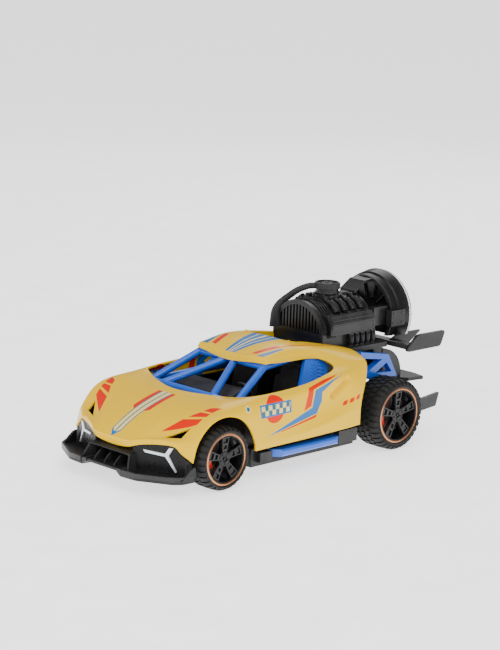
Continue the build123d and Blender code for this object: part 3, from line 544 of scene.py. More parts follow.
FENDER_REAR = [
    (72.5, 0, 43.4), (71.8, 9.3, 43.6), (69, 19.8, 44), (65.6, 29.8, 44.6),
    (63, 38.5, 45.6), (63.5, 45.6, 45), (64.6, 49.8, 41.8), (65.4, 50.4, 38.9),
]
COWL = [
    (65.5, 0, 44.4), (64.4, 9.2, 44.4), (60, 20, 44.4), (55.8, 29.6, 44.4),
    (51.6, 36.8, 45), (49.8, 42.4, 46.2), (53.4, 48.2, 44.6), (59.2, 50.4, 34.4),
]
DOOR = [
    [COWL[5], COWL[6], COWL[7], (54.4, 50.4, 27.2), (52.4, 50.4, 21.4), (52.1, 50.2, 17.9)],
    [(42, 44.4, 46.4), (43.5, 48.4, 44.6), (45, 49.5, 37),
     (45, 49.6, 29), (44.5, 50, 21.6), (44.5, 49.6, 17.9)],
    [(29, 44.9, 46.8), (29, 48.7, 44.8), (29, 49.3, 37.5),
     (29, 49.2, 29.5), (29, 50.2, 21.3), (29, 49.6, 17.9)],
    [(15, 45, 47.3), (15, 48.8, 45.2), (14.5, 48.8, 38),
     (14.5, 48.6, 30), (14.5, 50.4, 21.9), (14.5, 49.6, 18)],
    [(4, 45, 48.6), (3.5, 48.8, 46.6), (2.5, 48.3, 39), (1.5, 48, 31), (1, 50.4, 23.4), (1, 49.6, 18.2)],
    [(-6, 44.4, 50.6), (-7, 48.6, 48.2), (-9, 47.6, 40.5),
     (-10, 47.8, 32.5), (-10.5, 50.4, 26), (-10.5, 49.8, 18.5)],
    [(-13, 43, 51.4), (-15.5, 48, 49.8), (-18, 47.8, 41.5),
     (-18.5, 48.4, 34), (-18.5, 50.4, 28.2), (-18.5, 50.2, 18.8)],
]
TIP = (-19.4, 39.6, 53.2)
QUARTER = [
    [TIP, (-22, 47, 50.4), (-23.5, 48.3, 42), (-23, 49, 34.8), (-23, 50.4, 28.8), (-23, 50.2, 19)],
    [(-28, 40.8, 54.2), (-29, 45.8, 49.8), (-28.5, 48.4, 42.2),
     (-27, 49.5, 35.2), (-26.5, 50.4, 28.6), (-26.5, 50.2, 19.2)],
    [(-44.5, 40.8, 51.6), (-41, 44.2, 46.4), (-37.4, 46.6, 40.6),
     (-33, 48.6, 34.6), (-30.8, 49.8, 28), (-30.2, 50.2, 19.3)],
]
ROOF = [
    [(28, 0, 55.9), (27.8, 7, 56.2), (26.9, 18, 57.6), (26, 24.2, 58),
     (25.2, 26.3, 58), (24.4, 27.4, 57.9), (23.8, 28, 57.8)],
    [(27.6, 0, 59.4), (27.4, 7, 59.7), (25.9, 18, 60.9), (24, 24.6, 61.1),
     (22.6, 27.4, 60.4), (21.8, 28.6, 59.4), (21.4, 29.2, 58.2)],
    [(18.5, 0, 62.2), (18.5, 9.5, 62.4), (18, 19, 62.5), (17.2, 25.2, 62),
     (16.7, 28.4, 60.6), (16.5, 29.6, 59.2), (16.5, 30, 57.7)],
    [(8, 0, 64.4), (8, 9.5, 64.6), (8, 19, 64.7), (7.5, 25.4, 63.8),
     (7.2, 28.8, 61.8), (7, 29.9, 59.6), (7, 30.2, 57.4)],
    [(-3.6, 0, 65.2), (-3.6, 8.5, 65.2), (-2.8, 18.2, 64.8), (-2.5, 25.2, 64.1),
     (-2.5, 28.8, 61.9), (-2.5, 30, 59.6), (-2.5, 30.2, 57.4)],
]
SAIL = [
    ROOF[4][2:],
    [(-11.5, 17.8, 63.9), (-11.5, 24.6, 63.5), (-11.8, 28.9, 61.6),
     (-12.2, 30.8, 59.2), (-12.6, 31.4, 56.9)],
    [(-19, 19.4, 62.4), (-19, 24.6, 62.3), (-18.5, 29.5, 60.6), (-18, 33.4, 58.2), (-17, 35.8, 55.6)],
]
SAIL_BACK = [
    [(-31, 21.2, 60.2), (-31, 25.5, 60.6), (-30.5, 30, 59.4),
     (-29.5, 34.5, 57.8), (-27.6, 38, 56.2), QUARTER[1][0]],
    [(-45, 23.4, 56.9), (-45.2, 27, 57), (-45.2, 31.5, 55.9),
     (-45, 35.5, 54.5), (-44.8, 38.4, 53.2), QUARTER[2][0]],
]


def lowered(line, drop, inward=0.6):
    """The line moved down and a little towards the middle, for the roof's turned-down rear edge."""
    return [(x, max(y - inward, 0) if y else 0, z - drop) for x, y, z in line]


def body_cage():
    """The rows joined into one half shell, with the hood's slot left open, and its sharp lines."""
    cage = Cage()
    hood = [NOSE, RIDGE, SLOT_LOW, SLOT_TOP, FENDER_FRONT, FENDER_TOP, FENDER_REAR, COWL]
    cage.grid(hood, skip={(2, 3)})
    cage.face(SLOT_LOW[3], SLOT_TOP[4], SLOT_TOP[3])
    cage.grid(DOOR)
    cage.grid([DOOR[-1], *QUARTER])
    cage.grid(ROOF)
    cage.grid(SAIL)
    for j in range(4):
        cage.face(SAIL[2][j], SAIL[2][j + 1], SAIL_BACK[0][j + 1], SAIL_BACK[0][j])
    cage.face(SAIL[2][4], TIP, QUARTER[1][0], SAIL_BACK[0][4])
    cage.grid(SAIL_BACK)
    edge = ROOF[4][:3] + [SAIL[1][0], SAIL[2][0], SAIL_BACK[0][0], SAIL_BACK[1][0]]
    cage.grid([lowered(edge, 3.6), edge])
    cage.crease(edge, 0.6)
    cage.crease(RIDGE[:5], 0.6)
    cage.crease(NOSE[3:7], 0.9)
    cage.crease([row[2] for row in hood[1:5]], 0.35)
    cage.crease([SLOT_LOW[3], SLOT_LOW[4], SLOT_TOP[4], SLOT_LOW[3]], 1.0)
    cage.corner(SLOT_LOW[3], SLOT_LOW[4], SLOT_TOP[4])
    cage.crease([row[4] for row in DOOR + QUARTER], 0.95)
    cage.crease([row[1] for row in DOOR[1:] + QUARTER[:2]], 0.25)
    cage.crease(ROOF[1][:6], 0.9)
    cage.crease([row[3] for row in ROOF[1:]], 0.25)
    return cage


def groove(mesh, start, end, width, depth):
    """Presses a straight groove into the body's sides, between two (x, z) points."""
    middle_part = 40
    a, b = Vector(start), Vector(end)
    run = b - a
    for vertex in mesh.vertices:
        x, y, z = (c / MM for c in vertex.co)
        if abs(y) < middle_part:
            continue
        along = max(0.0, min(1.0, (Vector((x, z)) - a).dot(run) / run.length_squared))
        gap = (Vector((x, z)) - (a + run * along)).length
        if gap < width:
            press = depth * (1 - (gap / width) ** 2) ** 1.5
            vertex.co.y -= (press if y > 0 else -press) * MM


def make_body():
    body = body_cage().build("body_shell_painted", "body_yellow", 4, replace=("body_shell",))
    groove(body.data, (-9.4, 38.9), (-21.0, 46.2), 2.3, 2.0)
    for polygon in body.data.polygons:
        polygon.use_smooth = True
    thick = body.modifiers.new("thickness", "SOLIDIFY")
    thick.thickness, thick.offset = 1.5 * MM, -1
    apply_modifiers(body)
    return body


# ---- turned and swept shapes
def turned(profile, centre, axis, segments=96):
    """Points and faces of a closed profile of (along, radius) pairs turned about X, Y or Z."""
    points, faces, count = [], [], len(profile)
    for i in range(segments):
        angle = 2 * pi * i / segments
        for along, radius in profile:
            a, b = radius * cos(angle), radius * sin(angle)
            spot = {"x": (along, a, b), "y": (a, along, b), "z": (a, b, along)}[axis]
            points.append(tuple(c + s for c, s in zip(centre, spot)))
    for i in range(segments):
        for j in range(count):
            k, n = (j + 1) % count, (i + 1) % segments
            faces.append((i * count + j, i * count + k, n * count + k, n * count + j))
    return points, faces


def loft(rings):
    """Points and faces through rings of equal length, closed at both ends."""
    count = len(rings[0])
    points = [tuple(p) for ring in rings for p in ring]
    faces = [tuple(range(count)), tuple(reversed(range(len(points) - count, len(points))))]
    for i in range(len(rings) - 1):
        for j in range(count):
            k = (j + 1) % count
            faces.append((i * count + j, (i + 1) * count + j, (i + 1) * count + k, i * count + k))
    return points, faces


def box_between(low, high):
    (x0, y0, z0), (x1, y1, z1) = low, high
    return loft([
        [(x0, y0, z0), (x1, y0, z0), (x1, y1, z0), (x0, y1, z0)],
        [(x0, y0, z1), (x1, y0, z1), (x1, y1, z1), (x0, y1, z1)],
    ])


def ring_section(radius, count, stretch=1.0):
    """A round section of (sideways, upward) pairs."""
    angles = [2 * pi * i / count for i in range(count)]
    return [(radius * cos(angle), radius * stretch * sin(angle)) for angle in angles]


def pin(low, high, radius):
    """The closed profile of a plain round pin, for turned()."""
    return [(low, 0), (low, radius), (high, radius), (high, 0)]


def smooth_path(knots, steps=8):
    """Points on a smooth curve through the knots."""
    ends = [knots[0], *knots, knots[-1]]
    path = []
    for a, b, c, d in zip(ends, ends[1:], ends[2:], ends[3:]):
        for i in range(steps):
            t = i / steps
            path.append(tuple(
                0.5 * (2 * q + (r - p) * t + (2 * p - 5 * q + 4 * r - s) * t * t
                       + (3 * q - p - 3 * r + s) * t ** 3)
                for p, q, r, s in zip(a, b, c, d)
            ))
    path.append(knots[-1])
    return path


def swept(path, section, scales=None, up=(0, 0, 1)):
    """A section of (sideways, upward) pairs carried along a path."""
    rings = []
    for i, spot in enumerate(path):
        run = Vector(path[min(i + 1, len(path) - 1)]) - Vector(path[max(i - 1, 0)])
        side = run.cross(Vector(up)).normalized()
        top = side.cross(run).normalized()
        wide, high = scales[i] if scales else (1, 1)
        rings.append([Vector(spot) + side * a * wide + top * b * high for a, b in section])
    return loft(rings)


def join(parts):
    """One (points, faces) pair from several."""
    points, faces = [], []
    for more_points, more_faces in parts:
        start = len(points)
        points += more_points
        faces += [tuple(start + i for i in face) for face in more_faces]
    return points, faces


def flipped(part):
    """The mirror image across the middle of the car."""
    points, faces = part
    return [(x, -y, z) for x, y, z in points], [tuple(reversed(face)) for face in faces]


def bevelled(made, width, angle=32, segments=2):
    bevel = made.modifiers.new("edge", "BEVEL")
    bevel.width, bevel.segments = width * MM, segments
    bevel.limit_method, bevel.angle_limit = "ANGLE", radians(angle)


def finish_mesh(made, angle=34):
    """Merges doubled points, turns all faces outwards and keeps corners crisp."""
    work = bmesh.new()
    work.from_mesh(made.data)
    bmesh.ops.remove_doubles(work, verts=work.verts, dist=1e-7)
    bmesh.ops.recalc_face_normals(work, faces=work.faces)
    work.to_mesh(made.data)
    work.free()
    made.data.set_sharp_from_angle(angle=radians(angle))


def piece(name, parts, slot, body="car", replace=(), bevel=0.0):
    points, faces = join(parts)
    made = add_mesh(name, points, faces, slot, body, replace)
    finish_mesh(made)
    if bevel:
        bevelled(made, bevel)
    return made


# ---- wheels
SIDES = (("left", lambda part: part), ("right", flipped))


class Wheel:
    """Sizes of one axle's left wheel: face and back are its outer and inner sides."""

    def __init__(self, name, lugs):
        (_, self.back, _), (tyre_front, self.face, _) = box_mm(f"tyre_{name}_left")
        rim_front = box_mm(f"rim_{name}_left")[1][0]
        self.x, _, self.z = joint_mm(f"{name}_axle_spin")
        self.tyre_r, self.rim_r = tyre_front - self.x, rim_front - self.x
        self.name, self.body, self.lugs = name, f"{name}_wheels", lugs
        self.centre = (self.x, 0, self.z)


WHEELS = (Wheel("front", 30), Wheel("rear", 34))


def lug(wheel, start, span, section, slant=0.0):
    """One tread block: a (y, radius) section carried through an arc of the tyre."""
    rings, steps = [], 3
    for i in range(steps + 1):
        t = i / steps
        angle = start + span * t
        c, s = cos(angle), sin(angle)
        rings.append([(wheel.x + r * c, y + slant * t, wheel.z + r * s) for y, r in section])
    return loft(rings)


def tyre_parts(wheel):
    """Carcass with a ribbed sidewall, two shoulder rows and two slanting middle rows of blocks."""
    face, back, rim_r, top = wheel.face, wheel.back, wheel.rim_r, wheel.tyre_r
    middle, ring_r = (face + back) / 2, wheel.rim_r + 1.2
    profile = [
        (face - 1.8, rim_r), (back + 1, rim_r), (back + 0.1, rim_r + 1.4), (back + 0.25, top - 3.2),
        (back + 1.4, top - 1.4), (back + 3.2, top - 0.75), (middle, top - 0.6), (face - 3.4, top - 0.75),
        (face - 1.5, top - 1.3), (face - 0.5, top - 2.4), (face - 0.45, ring_r + 1.35),
        (face - 0.15, ring_r + 1.2), (face - 0.1, ring_r + 0.75), (face - 0.5, ring_r), (face - 1.8, ring_r),
    ]
    parts = [turned(profile, wheel.centre, "y", 120)]
    outer = [
        (face - 5.2, top - 1.4), (face - 5.2, top - 0.05), (face - 2.7, top - 0.15), (face - 0.9, top - 1),
        (face - 0.1, top - 2.4), (face - 0.5, top - 3), (face - 2.8, top - 1.7),
    ]
    inner = [(face + back - y, r) for y, r in outer]
    half = (face - back) / 2 - 5.9
    near, far = (
        [(low, top - 1.2), (low, top), (high, top), (high, top - 1.2)]
        for low, high in ((middle + 0.35, middle + half - 1), (middle - half, middle - 1.35))
    )
    step = 2 * pi / wheel.lugs
    for i in range(wheel.lugs):
        start = step * i
        parts.append(lug(wheel, start, step * 0.66, outer))
        parts.append(lug(wheel, start + step / 2, step * 0.66, inner))
        parts.append(lug(wheel, start + step * 0.3, step * 0.72, near, 1))
        parts.append(lug(wheel, start + step * 0.8, step * 0.72, far, 1))
    return parts


def spoke(wheel, angle):
    """A spoke that widens to the rim, with square pockets between its raised edges."""
    root, reach = 3, wheel.rim_r - 1.0
    edge, tuck = 0.85, 0.3
    radial, tangent = (cos(angle), sin(angle)), (-sin(angle), cos(angle))

    def spot(r, t, y):
        return (wheel.x + radial[0] * r + tangent[0] * t, y, wheel.z + radial[1] * r + tangent[1] * t)

    def bar(start, end, left, right, sink, depth):
        """Left and right are functions of the spoke's half width; sink is the depth under its crest."""
        rings = []
        for r in (start, (start + end) / 2, end):
            share = (r - root) / (reach - root)
            w, y = 1.55 + 1.25 * share, wheel.face - 2.1 + 0.7 * share - sink
            a, b = left(w), right(w)
            rings.append([spot(r, a, y - depth), spot(r, b, y - depth), spot(r, b, y), spot(r, a, y)])
        return loft(rings)

    parts = [
        bar(root, reach, lambda w: -w, lambda w: w, edge, 2.1),
        bar(root, reach, lambda w: -w, lambda w: edge - w, 0, 1),
        bar(root, reach, lambda w: w - edge, lambda w: w, 0, 1),
    ]
    crossings = [root + share * (reach - root) for share in (0.2, 0.56)]
    for start, end in [(r - 0.8, r + 0.8) for r in crossings] + [(reach - 1, reach)]:
        parts.append(bar(start, end, lambda w: tuck - w, lambda w: w - tuck, 0.05, 0.9))
    return parts


def rim_parts(wheel):
    """Barrel with a rolled lip, five pocketed spokes and a hub with small screws."""
    face, back, rim_r = wheel.face, wheel.back, wheel.rim_r
    barrel = [
        (back + 1, rim_r - 1.2), (back + 1, rim_r), (face - 1.8, rim_r), (face - 0.8, rim_r - 0.05),
        (face - 0.65, rim_r - 0.4), (face - 1, rim_r - 0.8), (face - 2.2, rim_r - 1.05),
        (face - 4.5, rim_r - 1.35), (face - 6.5, rim_r - 1.2),
    ]
    hub = [
        (face - 8, 1.2), (face - 8, 3), (face - 4.8, 3.2), (face - 4.6, 4.2), (face - 2.3, 4.2),
        (face - 1.9, 3.8), (face - 1.9, 1.75), (face - 2.5, 1.6), (face - 2.5, 0.9), (face - 1.8, 0.7),
        (face - 1.8, 0), (face - 3.6, 0), (face - 3.6, 1.2),
    ]
    screw = [(face - 2.4, 0), (face - 2.4, 0.62), (face - 1.6, 0.56), (face - 1.5, 0.3), (face - 1.75, 0)]
    parts = [turned(barrel, wheel.centre, "y"), turned(hub, wheel.centre, "y", 48)]
    spokes, screw_ring = 5, 2.8
    for i in range(spokes):
        angle = pi / 2 + 2 * pi * i / spokes
        parts += spoke(wheel, angle)
        between = angle + pi / spokes
        centre = (wheel.x + screw_ring * cos(between), 0, wheel.z + screw_ring * sin(between))
        parts.append(turned(screw, centre, "y", 16))
    return parts


def make_wheels():
    for wheel in WHEELS:
        tyre, rim = join(tyre_parts(wheel)), join(rim_parts(wheel))
        for side, turn in SIDES:
            name = f"{wheel.name}_{side}"
            piece(f"tyre_tread_{name}", [turn(tyre)], "tyre_rubber", wheel.body, (f"tyre_{name}",))
            rim_made = piece(f"rim_spokes_{name}", [turn(rim)], "rim_black", wheel.body, (f"rim_{name}",))
            bevelled(rim_made, 0.12, 40, 1)


# ---- engine
ENGINE_R = box_mm("engine_block")[1][1]
ENGINE_Z = box_mm("engine_block")[1][2] - ENGINE_R
(CAP_BACK, _, _), (CAP_FRONT, _, CAP_TOP) = box_mm("filler_cap")
CAP_X = round((CAP_BACK + CAP_FRONT) / 2, 1)  # the facets of the round cap end a little short at the back


def arch(x0, x1, inner, outer, low=0, steps=36):
    """A band round the arched engine; low is how far its feet reach under the arch's centre."""
    rings = []
    for i in range(steps + 1):
        angle = pi * i / steps
        c, s = cos(angle), sin(angle)
        drop = low if i in (0, steps) else 0
        rings.append([
            (x0, inner * c, ENGINE_Z + inner * s - drop), (x0, outer * c, ENGINE_Z + outer * s - drop),
            (x1, outer * c, ENGINE_Z + outer * s - drop), (x1, inner * c, ENGINE_Z + inner * s - drop),
        ])
    return loft(rings)


def arc_bar(x, radius, low, high, thick, side):
    """A bent round bar over one flank of the engine, between two angles above the side line."""
    path = []
    for i in range(9):
        angle = radians(low + (high - low) * i / 8)
        path.append((x, side * radius * cos(angle), ENGINE_Z + radius * sin(angle)))
    return swept(path, ring_section(thick, 16), up=(1, 0, 0))


def engine_details():
    """Cooling fins, crown rail, collars on the runners, screws and the plates of the covers."""
    fins = [arch(-33.6 - 1.9 * i, -34.5 - 1.9 * i, ENGINE_R - 0.4, ENGINE_R + 0.75) for i in range(4)]
    fins.append(arch(-28.7, -30.4, ENGINE_R - 1.3, ENGINE_R + 0.55, 6.4))
    fins.append(arch(-70.2, -71.9, ENGINE_R - 0.4, ENGINE_R + 0.6))
    piece("engine_fins", fins, "engine_black", bevel=0.15)

    collar = [(81, 0), (81, 1.7), (83.9, 1.7), (84.2, 1.4), (84.2, 0.8), (83.7, 0.7), (83.7, 0)]
    parts = []
    for side in (-1, 1):
        for i in range(4):
            x = -43.8 - 6.8 * i
            for angle in (42, 46):
                parts.append(arc_bar(x, ENGINE_R + 1.9, angle, angle + 1.4, 2.3, side))
            parts.append(arc_bar(x, ENGINE_R + 0.9, 60, 74, 1.5, side))
            if abs(x - CAP_X) > 7:  # the filler neck stands over the others
                parts.append(turned(collar, (x, side * 7, 0), "z", 20))
            path = smooth_path([
                (x - 3.4, side * 9.5, 80.8), (x - 3.5, side * 13.2, 79.4), (x - 3.4, side * 15.8, 75.6),
            ], 5)
            parts.append(swept(path, ring_section(0.75, 10), up=(1, 0, 0)))
    for x, length in ((-61.2, 8.6), (-45.2, 5)):
        parts.append(box_between((x - length, -2.6, 81.6), (x, 2.6, 83.7)))
    piece("engine_runner_collars", parts, "engine_black", bevel=0.12)


def cover_details():
    """Pocketed front plates, flat sides, ribs and screws on the valve covers, and the header pipes."""
    plate = [(14.6, 64.9), (22.4, 64.6), (22.9, 65.1), (22.9, 71.2), (20.2, 75.8), (14.6, 76)]
    inner = [(16.6, 66.2), (21.4, 66), (21.7, 66.3), (21.7, 70.6), (19.5, 74.2), (16.6, 74.4)]
    levels = [(-34.2, plate), (-33, plate), (-32.5, plate), (-32.5, inner), (-33.2, inner)]
    screw = [(75.3, 0), (75.3, 0.9), (75.95, 0.8), (76.05, 0.45), (75.85, 0.3), (75.85, 0)]
    cover = [loft([[(x, *corner) for corner in outline] for x, outline in levels])]
    cover.append(box_between((-66.5, 15.4, 75.2), (-50, 17.2, 76.2)))
    cover.append(box_between((-68.8, 21.3, 72.6), (-34.8, 21.9, 73.2)))
    for i in range(5):
        cover.append(turned(screw, (-37.5 - 7.2 * i, 18.6, 0), "z", 18))
    cover.append(box_between((-68.2, 21.2, 65.6), (-35.3, 22.45, 70)))
    pipes = []
    for i in range(5):
        x = -50.7 - 4.6 * i
        path = smooth_path([(x, 20.8, 64.8), (x, 21.9, 62.6), (x, 22, 59.6), (x, 21.3, 56.6)], 5)
        pipes.append(swept(path, ring_section(1.55, 16, 1.1), up=(1, 0, 0)))
        pipes.append(turned(pin(63.6, 64.6, 1.9), (x, 21.2, 0), "z", 20))
        pipes.append(turned(pin(56.5, 57.4, 1.9), (x, 21.3, 0), "z", 20))
    for word, turn in SIDES:
        piece(f"valve_cover_details_{word}", [turn(join(cover))], "engine_black", bevel=0.15)
        made = [turn(join(pipes))]
        piece(f"header_bends_{word}", made, "engine_black", replace=(f"header_pipes_{word}",))


def filler_details():
    """Knurled cap with a dished, ribbed top, screws and rings on the neck, and the cap's strap."""
    centre = (CAP_X, 0, 0)
    rim, top = CAP_FRONT - CAP_X, CAP_TOP
    seat = top - 3.9
    profile = [
        (seat - 4, 0), (seat - 4, 4.2), (seat - 3.6, 4.5), (seat + 0.1, 4.5), (seat + 0.1, rim - 0.5),
        (seat + 0.5, rim - 0.15), (top - 0.5, rim - 0.15), (top, rim - 0.6), (top, rim - 1.5),
        (top - 0.9, rim - 1.8), (top - 1.1, 3.4), (top - 0.5, 3.1), (top - 0.5, 1.4), (top - 1, 1.2),
        (top - 1, 0),
    ]
    parts = [turned(profile, centre, "z", 96)]
    knurls, ribs = 40, 8
    for i in range(knurls):
        angle = 2 * pi * i / knurls
        spot = (CAP_X + (rim - 0.2) * cos(angle), (rim - 0.2) * sin(angle), 0)
        parts.append(turned(pin(seat + 0.5, top - 0.6, 0.2), spot, "z", 8))
    for i in range(ribs):
        angle = 2 * pi * i / ribs
        c, s = cos(angle), sin(angle)
        rings = []
        for r in (3.2, 6.2):
            rings.append([
                (CAP_X + r * c - 0.35 * s * k, r * s + 0.35 * c * k, z)
                for k, z in ((-1, top - 1.3), (1, top - 1.3), (1, top - 0.6), (-1, top - 0.6))
            ])
        parts.append(loft(rings))
    piece("filler_cap_dished", parts, "cap_rubber", "cap", ("filler_cap",))

    parts, screws, screw_ring = [], 6, 7.45
    for i in range(screws):
        angle = pi / 6 + 2 * pi * i / screws
        spot = (CAP_X + screw_ring * cos(angle), screw_ring * sin(angle), 0)
        parts.append(turned([(84, 0), (84, 0.7), (84.7, 0.6), (84.8, 0.3), (84.6, 0)], spot, "z", 14))
    parts.append(turned([(80.4, 6.4), (80.4, 7.6), (81.3, 7.4), (82, 6.9), (82, 6.4)], centre, "z", 64))
    parts.append(turned([(84.9, 6.4), (84.9, 7), (85.5, 7), (85.5, 6.4)], centre, "z", 64))
    piece("neck_details", parts, "engine_black")

    knots = [
        (-46, -3.9, 88.7), (-42.6, -6.2, 88.4), (-38, -9.6, 86.2), (-33.6, -13, 82.4),
        (-29.8, -15.8, 78.4), (-27.5, -16.8, 74.2), (-27.3, -16.8, 70), (-27.4, -16.6, 64.8),
    ]
    path = smooth_path(knots)
    scales = []
    for i in range(len(path)):
        t = i / (len(path) - 1)
        widen = max(0, 2 * t - 1)
        scales.append((1.3 + 0.3 * t, 1.75 + 0.6 * t + 1.5 * widen ** 1.5))
    along = swept(path, ring_section(1, 20), scales, up=(0.8, -0.6, 1))
    strap = add_mesh("cap_strap_flat", *along, "cap_rubber")
    finish_mesh(strap)
    strap.parent = None
    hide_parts("cap_strap")
    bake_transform(strap)


def ring_details():
    """Fine steps inside the drum, vanes on its web and screws on the side brackets."""
    axis_z, cut_z = 68.8, 57.9
    vanes, half_thick, inner, outer = 12, 0.45, 9.4, 18.9
    step = [(-85.1, 19.7), (-85.1, 21.2), (-84.7, 21.4), (-84.7, 22), (-85.3, 22.3), (-86, 19.7)]
    parts = [turned(step, (0, 0, axis_z), "x")]
    for i in range(vanes):
        angle = radians(15) + 2 * pi * i / vanes
        c, s = cos(angle), sin(angle)
        if axis_z + outer * s < cut_z + 1:
            continue
        rings = []
        for r in (inner, outer):
            rings.append([
                (x, r * c - half_thick * s * k, axis_z + r * s + half_thick * c * k)
                for x, k in ((-89.6, -1), (-89.6, 1), (-87.9, 1), (-87.9, -1))
            ])
        parts.append(loft(rings))
    screw = [(24.4, 0), (24.4, 0.85), (24.95, 0.75), (24.95, 0)]
    for x in (-84.2, -91.6):
        for z in (66.2, 72):
            made = turned(screw, (x, 0, z), "y", 16)
            parts += [made, flipped(made)]
    piece("ring_details", [cut_below(part, cut_z) for part in parts], "engine_black")


def cut_below(part, level):
    """Keeps only what is above the level, with the cut closed."""
    work = bmesh.new()
    spots = [work.verts.new(p) for p in part[0]]
    for face in part[1]:
        try:
            work.faces.new([spots[i] for i in face])
        except ValueError:
            continue
    geometry = work.verts[:] + work.edges[:] + work.faces[:]
    cut = bmesh.ops.bisect_plane(
        work, geom=geometry, dist=1e-5, plane_co=(0, 0, level), plane_no=(0, 0, -1), clear_outer=True
    )
    edges = [e for e in cut["geom_cut"] if isinstance(e, bmesh.types.BMEdge)]
    if edges:
        bmesh.ops.edgeloop_fill(work, edges=edges)
    work.verts.index_update()
    result = [tuple(v.co) for v in work.verts], [tuple(v.index for v in f.verts) for f in work.faces]
    work.free()
    return result


# ---- lamps, splitter, wing and cage panels
def rounded(corners, radius, steps=5):
    """A closed outline with each corner turned into a short curve."""
    line = []
    for before, at, after in zip(corners[-1:] + corners[:-1], corners, corners[1:] + corners[:1]):
        at, ends = Vector(at), []
        for other in (Vector(before), Vector(after)):
            reach = min(radius, (other - at).length * 0.45)
            ends.append(at + (other - at).normalized() * reach)
        for i in range(steps + 1):
            t = i / steps
            line.append(tuple(ends[0] * (1 - t) ** 2 + at * 2 * t * (1 - t) + ends[1] * t ** 2))
    return line


def slab(outline, low, high, place, edge=0.3):
    """A flat plate with softened edges; place turns (u, v, depth) into a point."""
    middle = sum((Vector(p) for p in outline), Vector((0, 0))) / len(outline)
    small = [tuple(Vector(p) + (middle - Vector(p)).normalized() * edge) for p in outline]
    levels = ((low, small), (low + edge, outline), (high - edge, outline), (high, small))
    return loft([[place(u, v, depth) for u, v in line] for depth, line in levels])


LAMP_IN, LAMP_OUT, LAMP_THICK = (110, 15), (97.5, 44.6), 3.0


def lamp_spot(along, up, depth):
    """A point on the lamp's face, from the distance along it, the height and the depth."""
    start = Vector(LAMP_IN)
    run = (Vector(LAMP_OUT) - start).normalized()
    spot = start + run * along + Vector((run.y, -run.x)) * depth
    return (spot.x, spot.y, up)


def lamp_details():
    """Mesh panels that reach up under the hood's edge, each with a bright Y-shaped strip."""
    panel = [
        (0, 8.6), (0, 23), (4.4, 25.6), (25.8, 27.4), (26.6, 24), (32, 19.4), (32, 9.6), (26, 8.6),
    ]
    strip = [
        (6.6, 22.2), (19.4, 21.4), (21.8, 24.9), (24.1, 24.9), (21.6, 20.6), (26.4, 12.2), (25.6, 11.9),
        (19.8, 19.9), (7.8, 20.8),
    ]
    made = [
        (slab(panel, -LAMP_THICK, 0, lamp_spot), "lamp_black", "lamp_panel", "lamp"),
        (slab(strip, -0.3, 0.8, lamp_spot, 0.15), "lamp_white", "lamp_bright_strip", "lamp_strip"),
    ]
    for part, slot, name, node_name in made:
        for word, turn in SIDES:
            piece(f"{name}_{word}", [turn(part)], slot, replace=(f"{node_name}_{word}",))


def flat(u, v, depth):
    """For slab(): the outline lies in the (x, y) plane."""
    return (u, v, depth)


def upright(u, v, depth):
    """For slab(): the outline stands in the (x, z) plane."""
    return (u, depth, v)


def splitter_details():
    """The chin: a raised middle lip, rimmed side trays with end fins, and a recess with three slats."""
    tray = rounded([
        (119.2, 15), (118.4, 27), (108.6, 45.2), (103.5, 48.8), (94.9, 49.2), (94.9, 31), (104, 13.5),
    ], 1.5)
    step = [(12.5, 9.9), (12.5, 11.7), (15.4, 11.7), (17.5, 9.7), (17.5, 7.9), (15.4, 7.9)]
    rim = [(x, y, 10.6) for x, y in ((118.5, 16.5), (117.9, 26.6), (108.2, 44.8), (103.4, 48.1), (97, 48.5))]
    band = [(-0.7, -1.2), (0.7, -1.2), (0.7, 1.2), (-0.7, 1.2)]
    fin = [(95, 9.6), (105.5, 9.6), (98.4, 15.6), (95, 16.4)]
    half = [
        slab(tray, 7.9, 9.9, flat),
        loft([[(x, *corner) for corner in step] for x in (104, 118.8)]),
        swept(rim, band),
        slab(rounded(fin, 1), 47.4, 49, upright),
        box_between((94.4, 42, 9), (98, 45, 19)),
        loft([
            [(105, 14.8, 9.5), (105, 17.4, 9.5), (105, 17.4, 18.8), (105, 14.8, 18.8)],
            [(116, 17.8, 9.8), (116, 19.2, 9.8), (112.4, 16.4, 18.9), (112.4, 15, 18.9)],
        ]),
    ]
    post = [(116.3, 18.8, 9.8), (114.5, 17.4, 14.2), (113, 16.2, 17.6), (112.5, 15.2, 18.8)]
    frame_bar = smooth_path([(x, -y, z) for x, y, z in post] + [(112.5, 0, 18.9)] + post[::-1], 4)
    parts = half + [flipped(part) for part in half]
    parts += [
        slab(rounded([(118.3, -13.5), (118.3, 13.5), (104, 13.5), (104, -13.5)], 1), 10, 11.7, flat),
        box_between((104.4, -16.6, 9), (106, 16.6, 19.6)),
        box_between((104.6, -15.6, 18.4), (112.4, 15.6, 19.7)),
        swept(frame_bar, ring_section(0.8, 12)),
    ]
    slat = [(106, 10.5), (117.2, 10.8), (116.6, 12.6), (114.6, 15), (111.8, 17.2), (106, 18.6)]
    for y in (-8, 0, 8):
        parts.append(slab(slat, y - 0.45, y + 0.45, upright, 0.2))
    piece("front_splitter_shaped", parts, "chassis_black", replace=("front_splitter",))


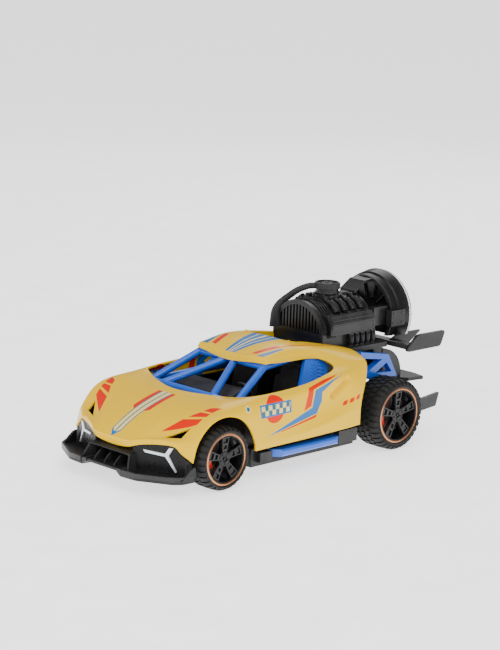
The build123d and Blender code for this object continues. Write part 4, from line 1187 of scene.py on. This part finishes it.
def wing_details():
    """The tail's blade with its rounded end plates and inner fins."""
    plate = rounded([(-119.4, 59.6), (-94.6, 60), (-85, 51.8), (-86.5, 50.4), (-115.5, 50.4)], 2.2)
    fin = rounded([(-118, 57), (-98, 57.4), (-90, 54), (-98.5, 50.8), (-104, 48)], 1.6)
    middle = [(-78, 53.6), (-78, 56.4), (-88, 54.6), (-98.5, 53.2), (-98.5, 50.8), (-87, 51.6)]
    blade = [(-87, 51.6), (-88, 54.2), (-98.5, 53.2), (-98.5, 50.8)]

    parts = [slab(middle, -10, 10, upright), slab(blade, -33.2, 33.2, upright)]
    for part in (slab(plate, 32.9, 35, upright, 0.4), slab(fin, 15.4, 17.1, upright)):
        parts += [part, flipped(part)]
    piece("rear_wing_rounded", parts, "engine_black", replace=("rear_wing",))


def panel_ribs():
    """Raised chevrons on the outside of the two blue side panels of the cage."""
    origin, lean = Vector((0, 37.5, 42)), Vector((0, -10, 16.6)).normalized()
    out = Vector((0, 16.6, 10)).normalized()

    def spot(u, v, depth):
        return tuple(origin + Vector((u, 0, 0)) + lean * v + out * depth)

    parts = []
    for i in range(7):
        low = 0.4 + 2.0 * i
        shift = -0.56 * low
        chevron = [
            (shift - 11, low), (shift - 6, low + 1.6), (shift - 1, low), (shift - 1, low + 0.8),
            (shift - 6, low + 2.4), (shift - 11, low + 0.8),
        ]
        parts.append(slab(chevron, 1.1, 1.75, spot, 0.15))
    for word, turn in SIDES:
        piece(f"side_panel_ribs_{word}", [turn(join(parts))], "cage_blue")


# ---- all pieces
# Width of the softened edges of the CAD nodes that stay in view, in millimetres.
EDGED = {
    "rear_bumper": 0.35, "rear_cover": 0.3, "engine_cradle": 0.3, "chassis": 0.25,
    "valve_cover_left": 0.5, "valve_cover_right": 0.5, "engine_block": 0.3,
    "engine_front_grille": 0.15, "ring_housing": 0.25, "rear_frame_left": 0.5, "rear_frame_right": 0.5,
    "side_step_left": 1.5, "side_step_right": 1.5, "seat_left": 0.8, "seat_right": 0.8, "floor_tub": 0.4,
    "brake_calipers": 0.3, "filler_neck": 0.2,
}


def dress_cad():
    """Gives every CAD node the material of its slot, and softens the edges of some."""
    for row in frame["record"]["subparts"]:
        cad = frame["nodes"][row["node"]]
        cad.data.materials.clear()
        cad.data.materials.append(MATERIALS[row["material_slot"]])
        if row["node"] in EDGED:
            bevelled(cad, EDGED[row["node"]])


MATERIALS = make_materials()
make_camera()
make_studio()
dress_cad()
make_body()
make_wheels()
lamp_details()
splitter_details()
wing_details()
panel_ribs()
engine_details()
cover_details()
filler_details()
ring_details()
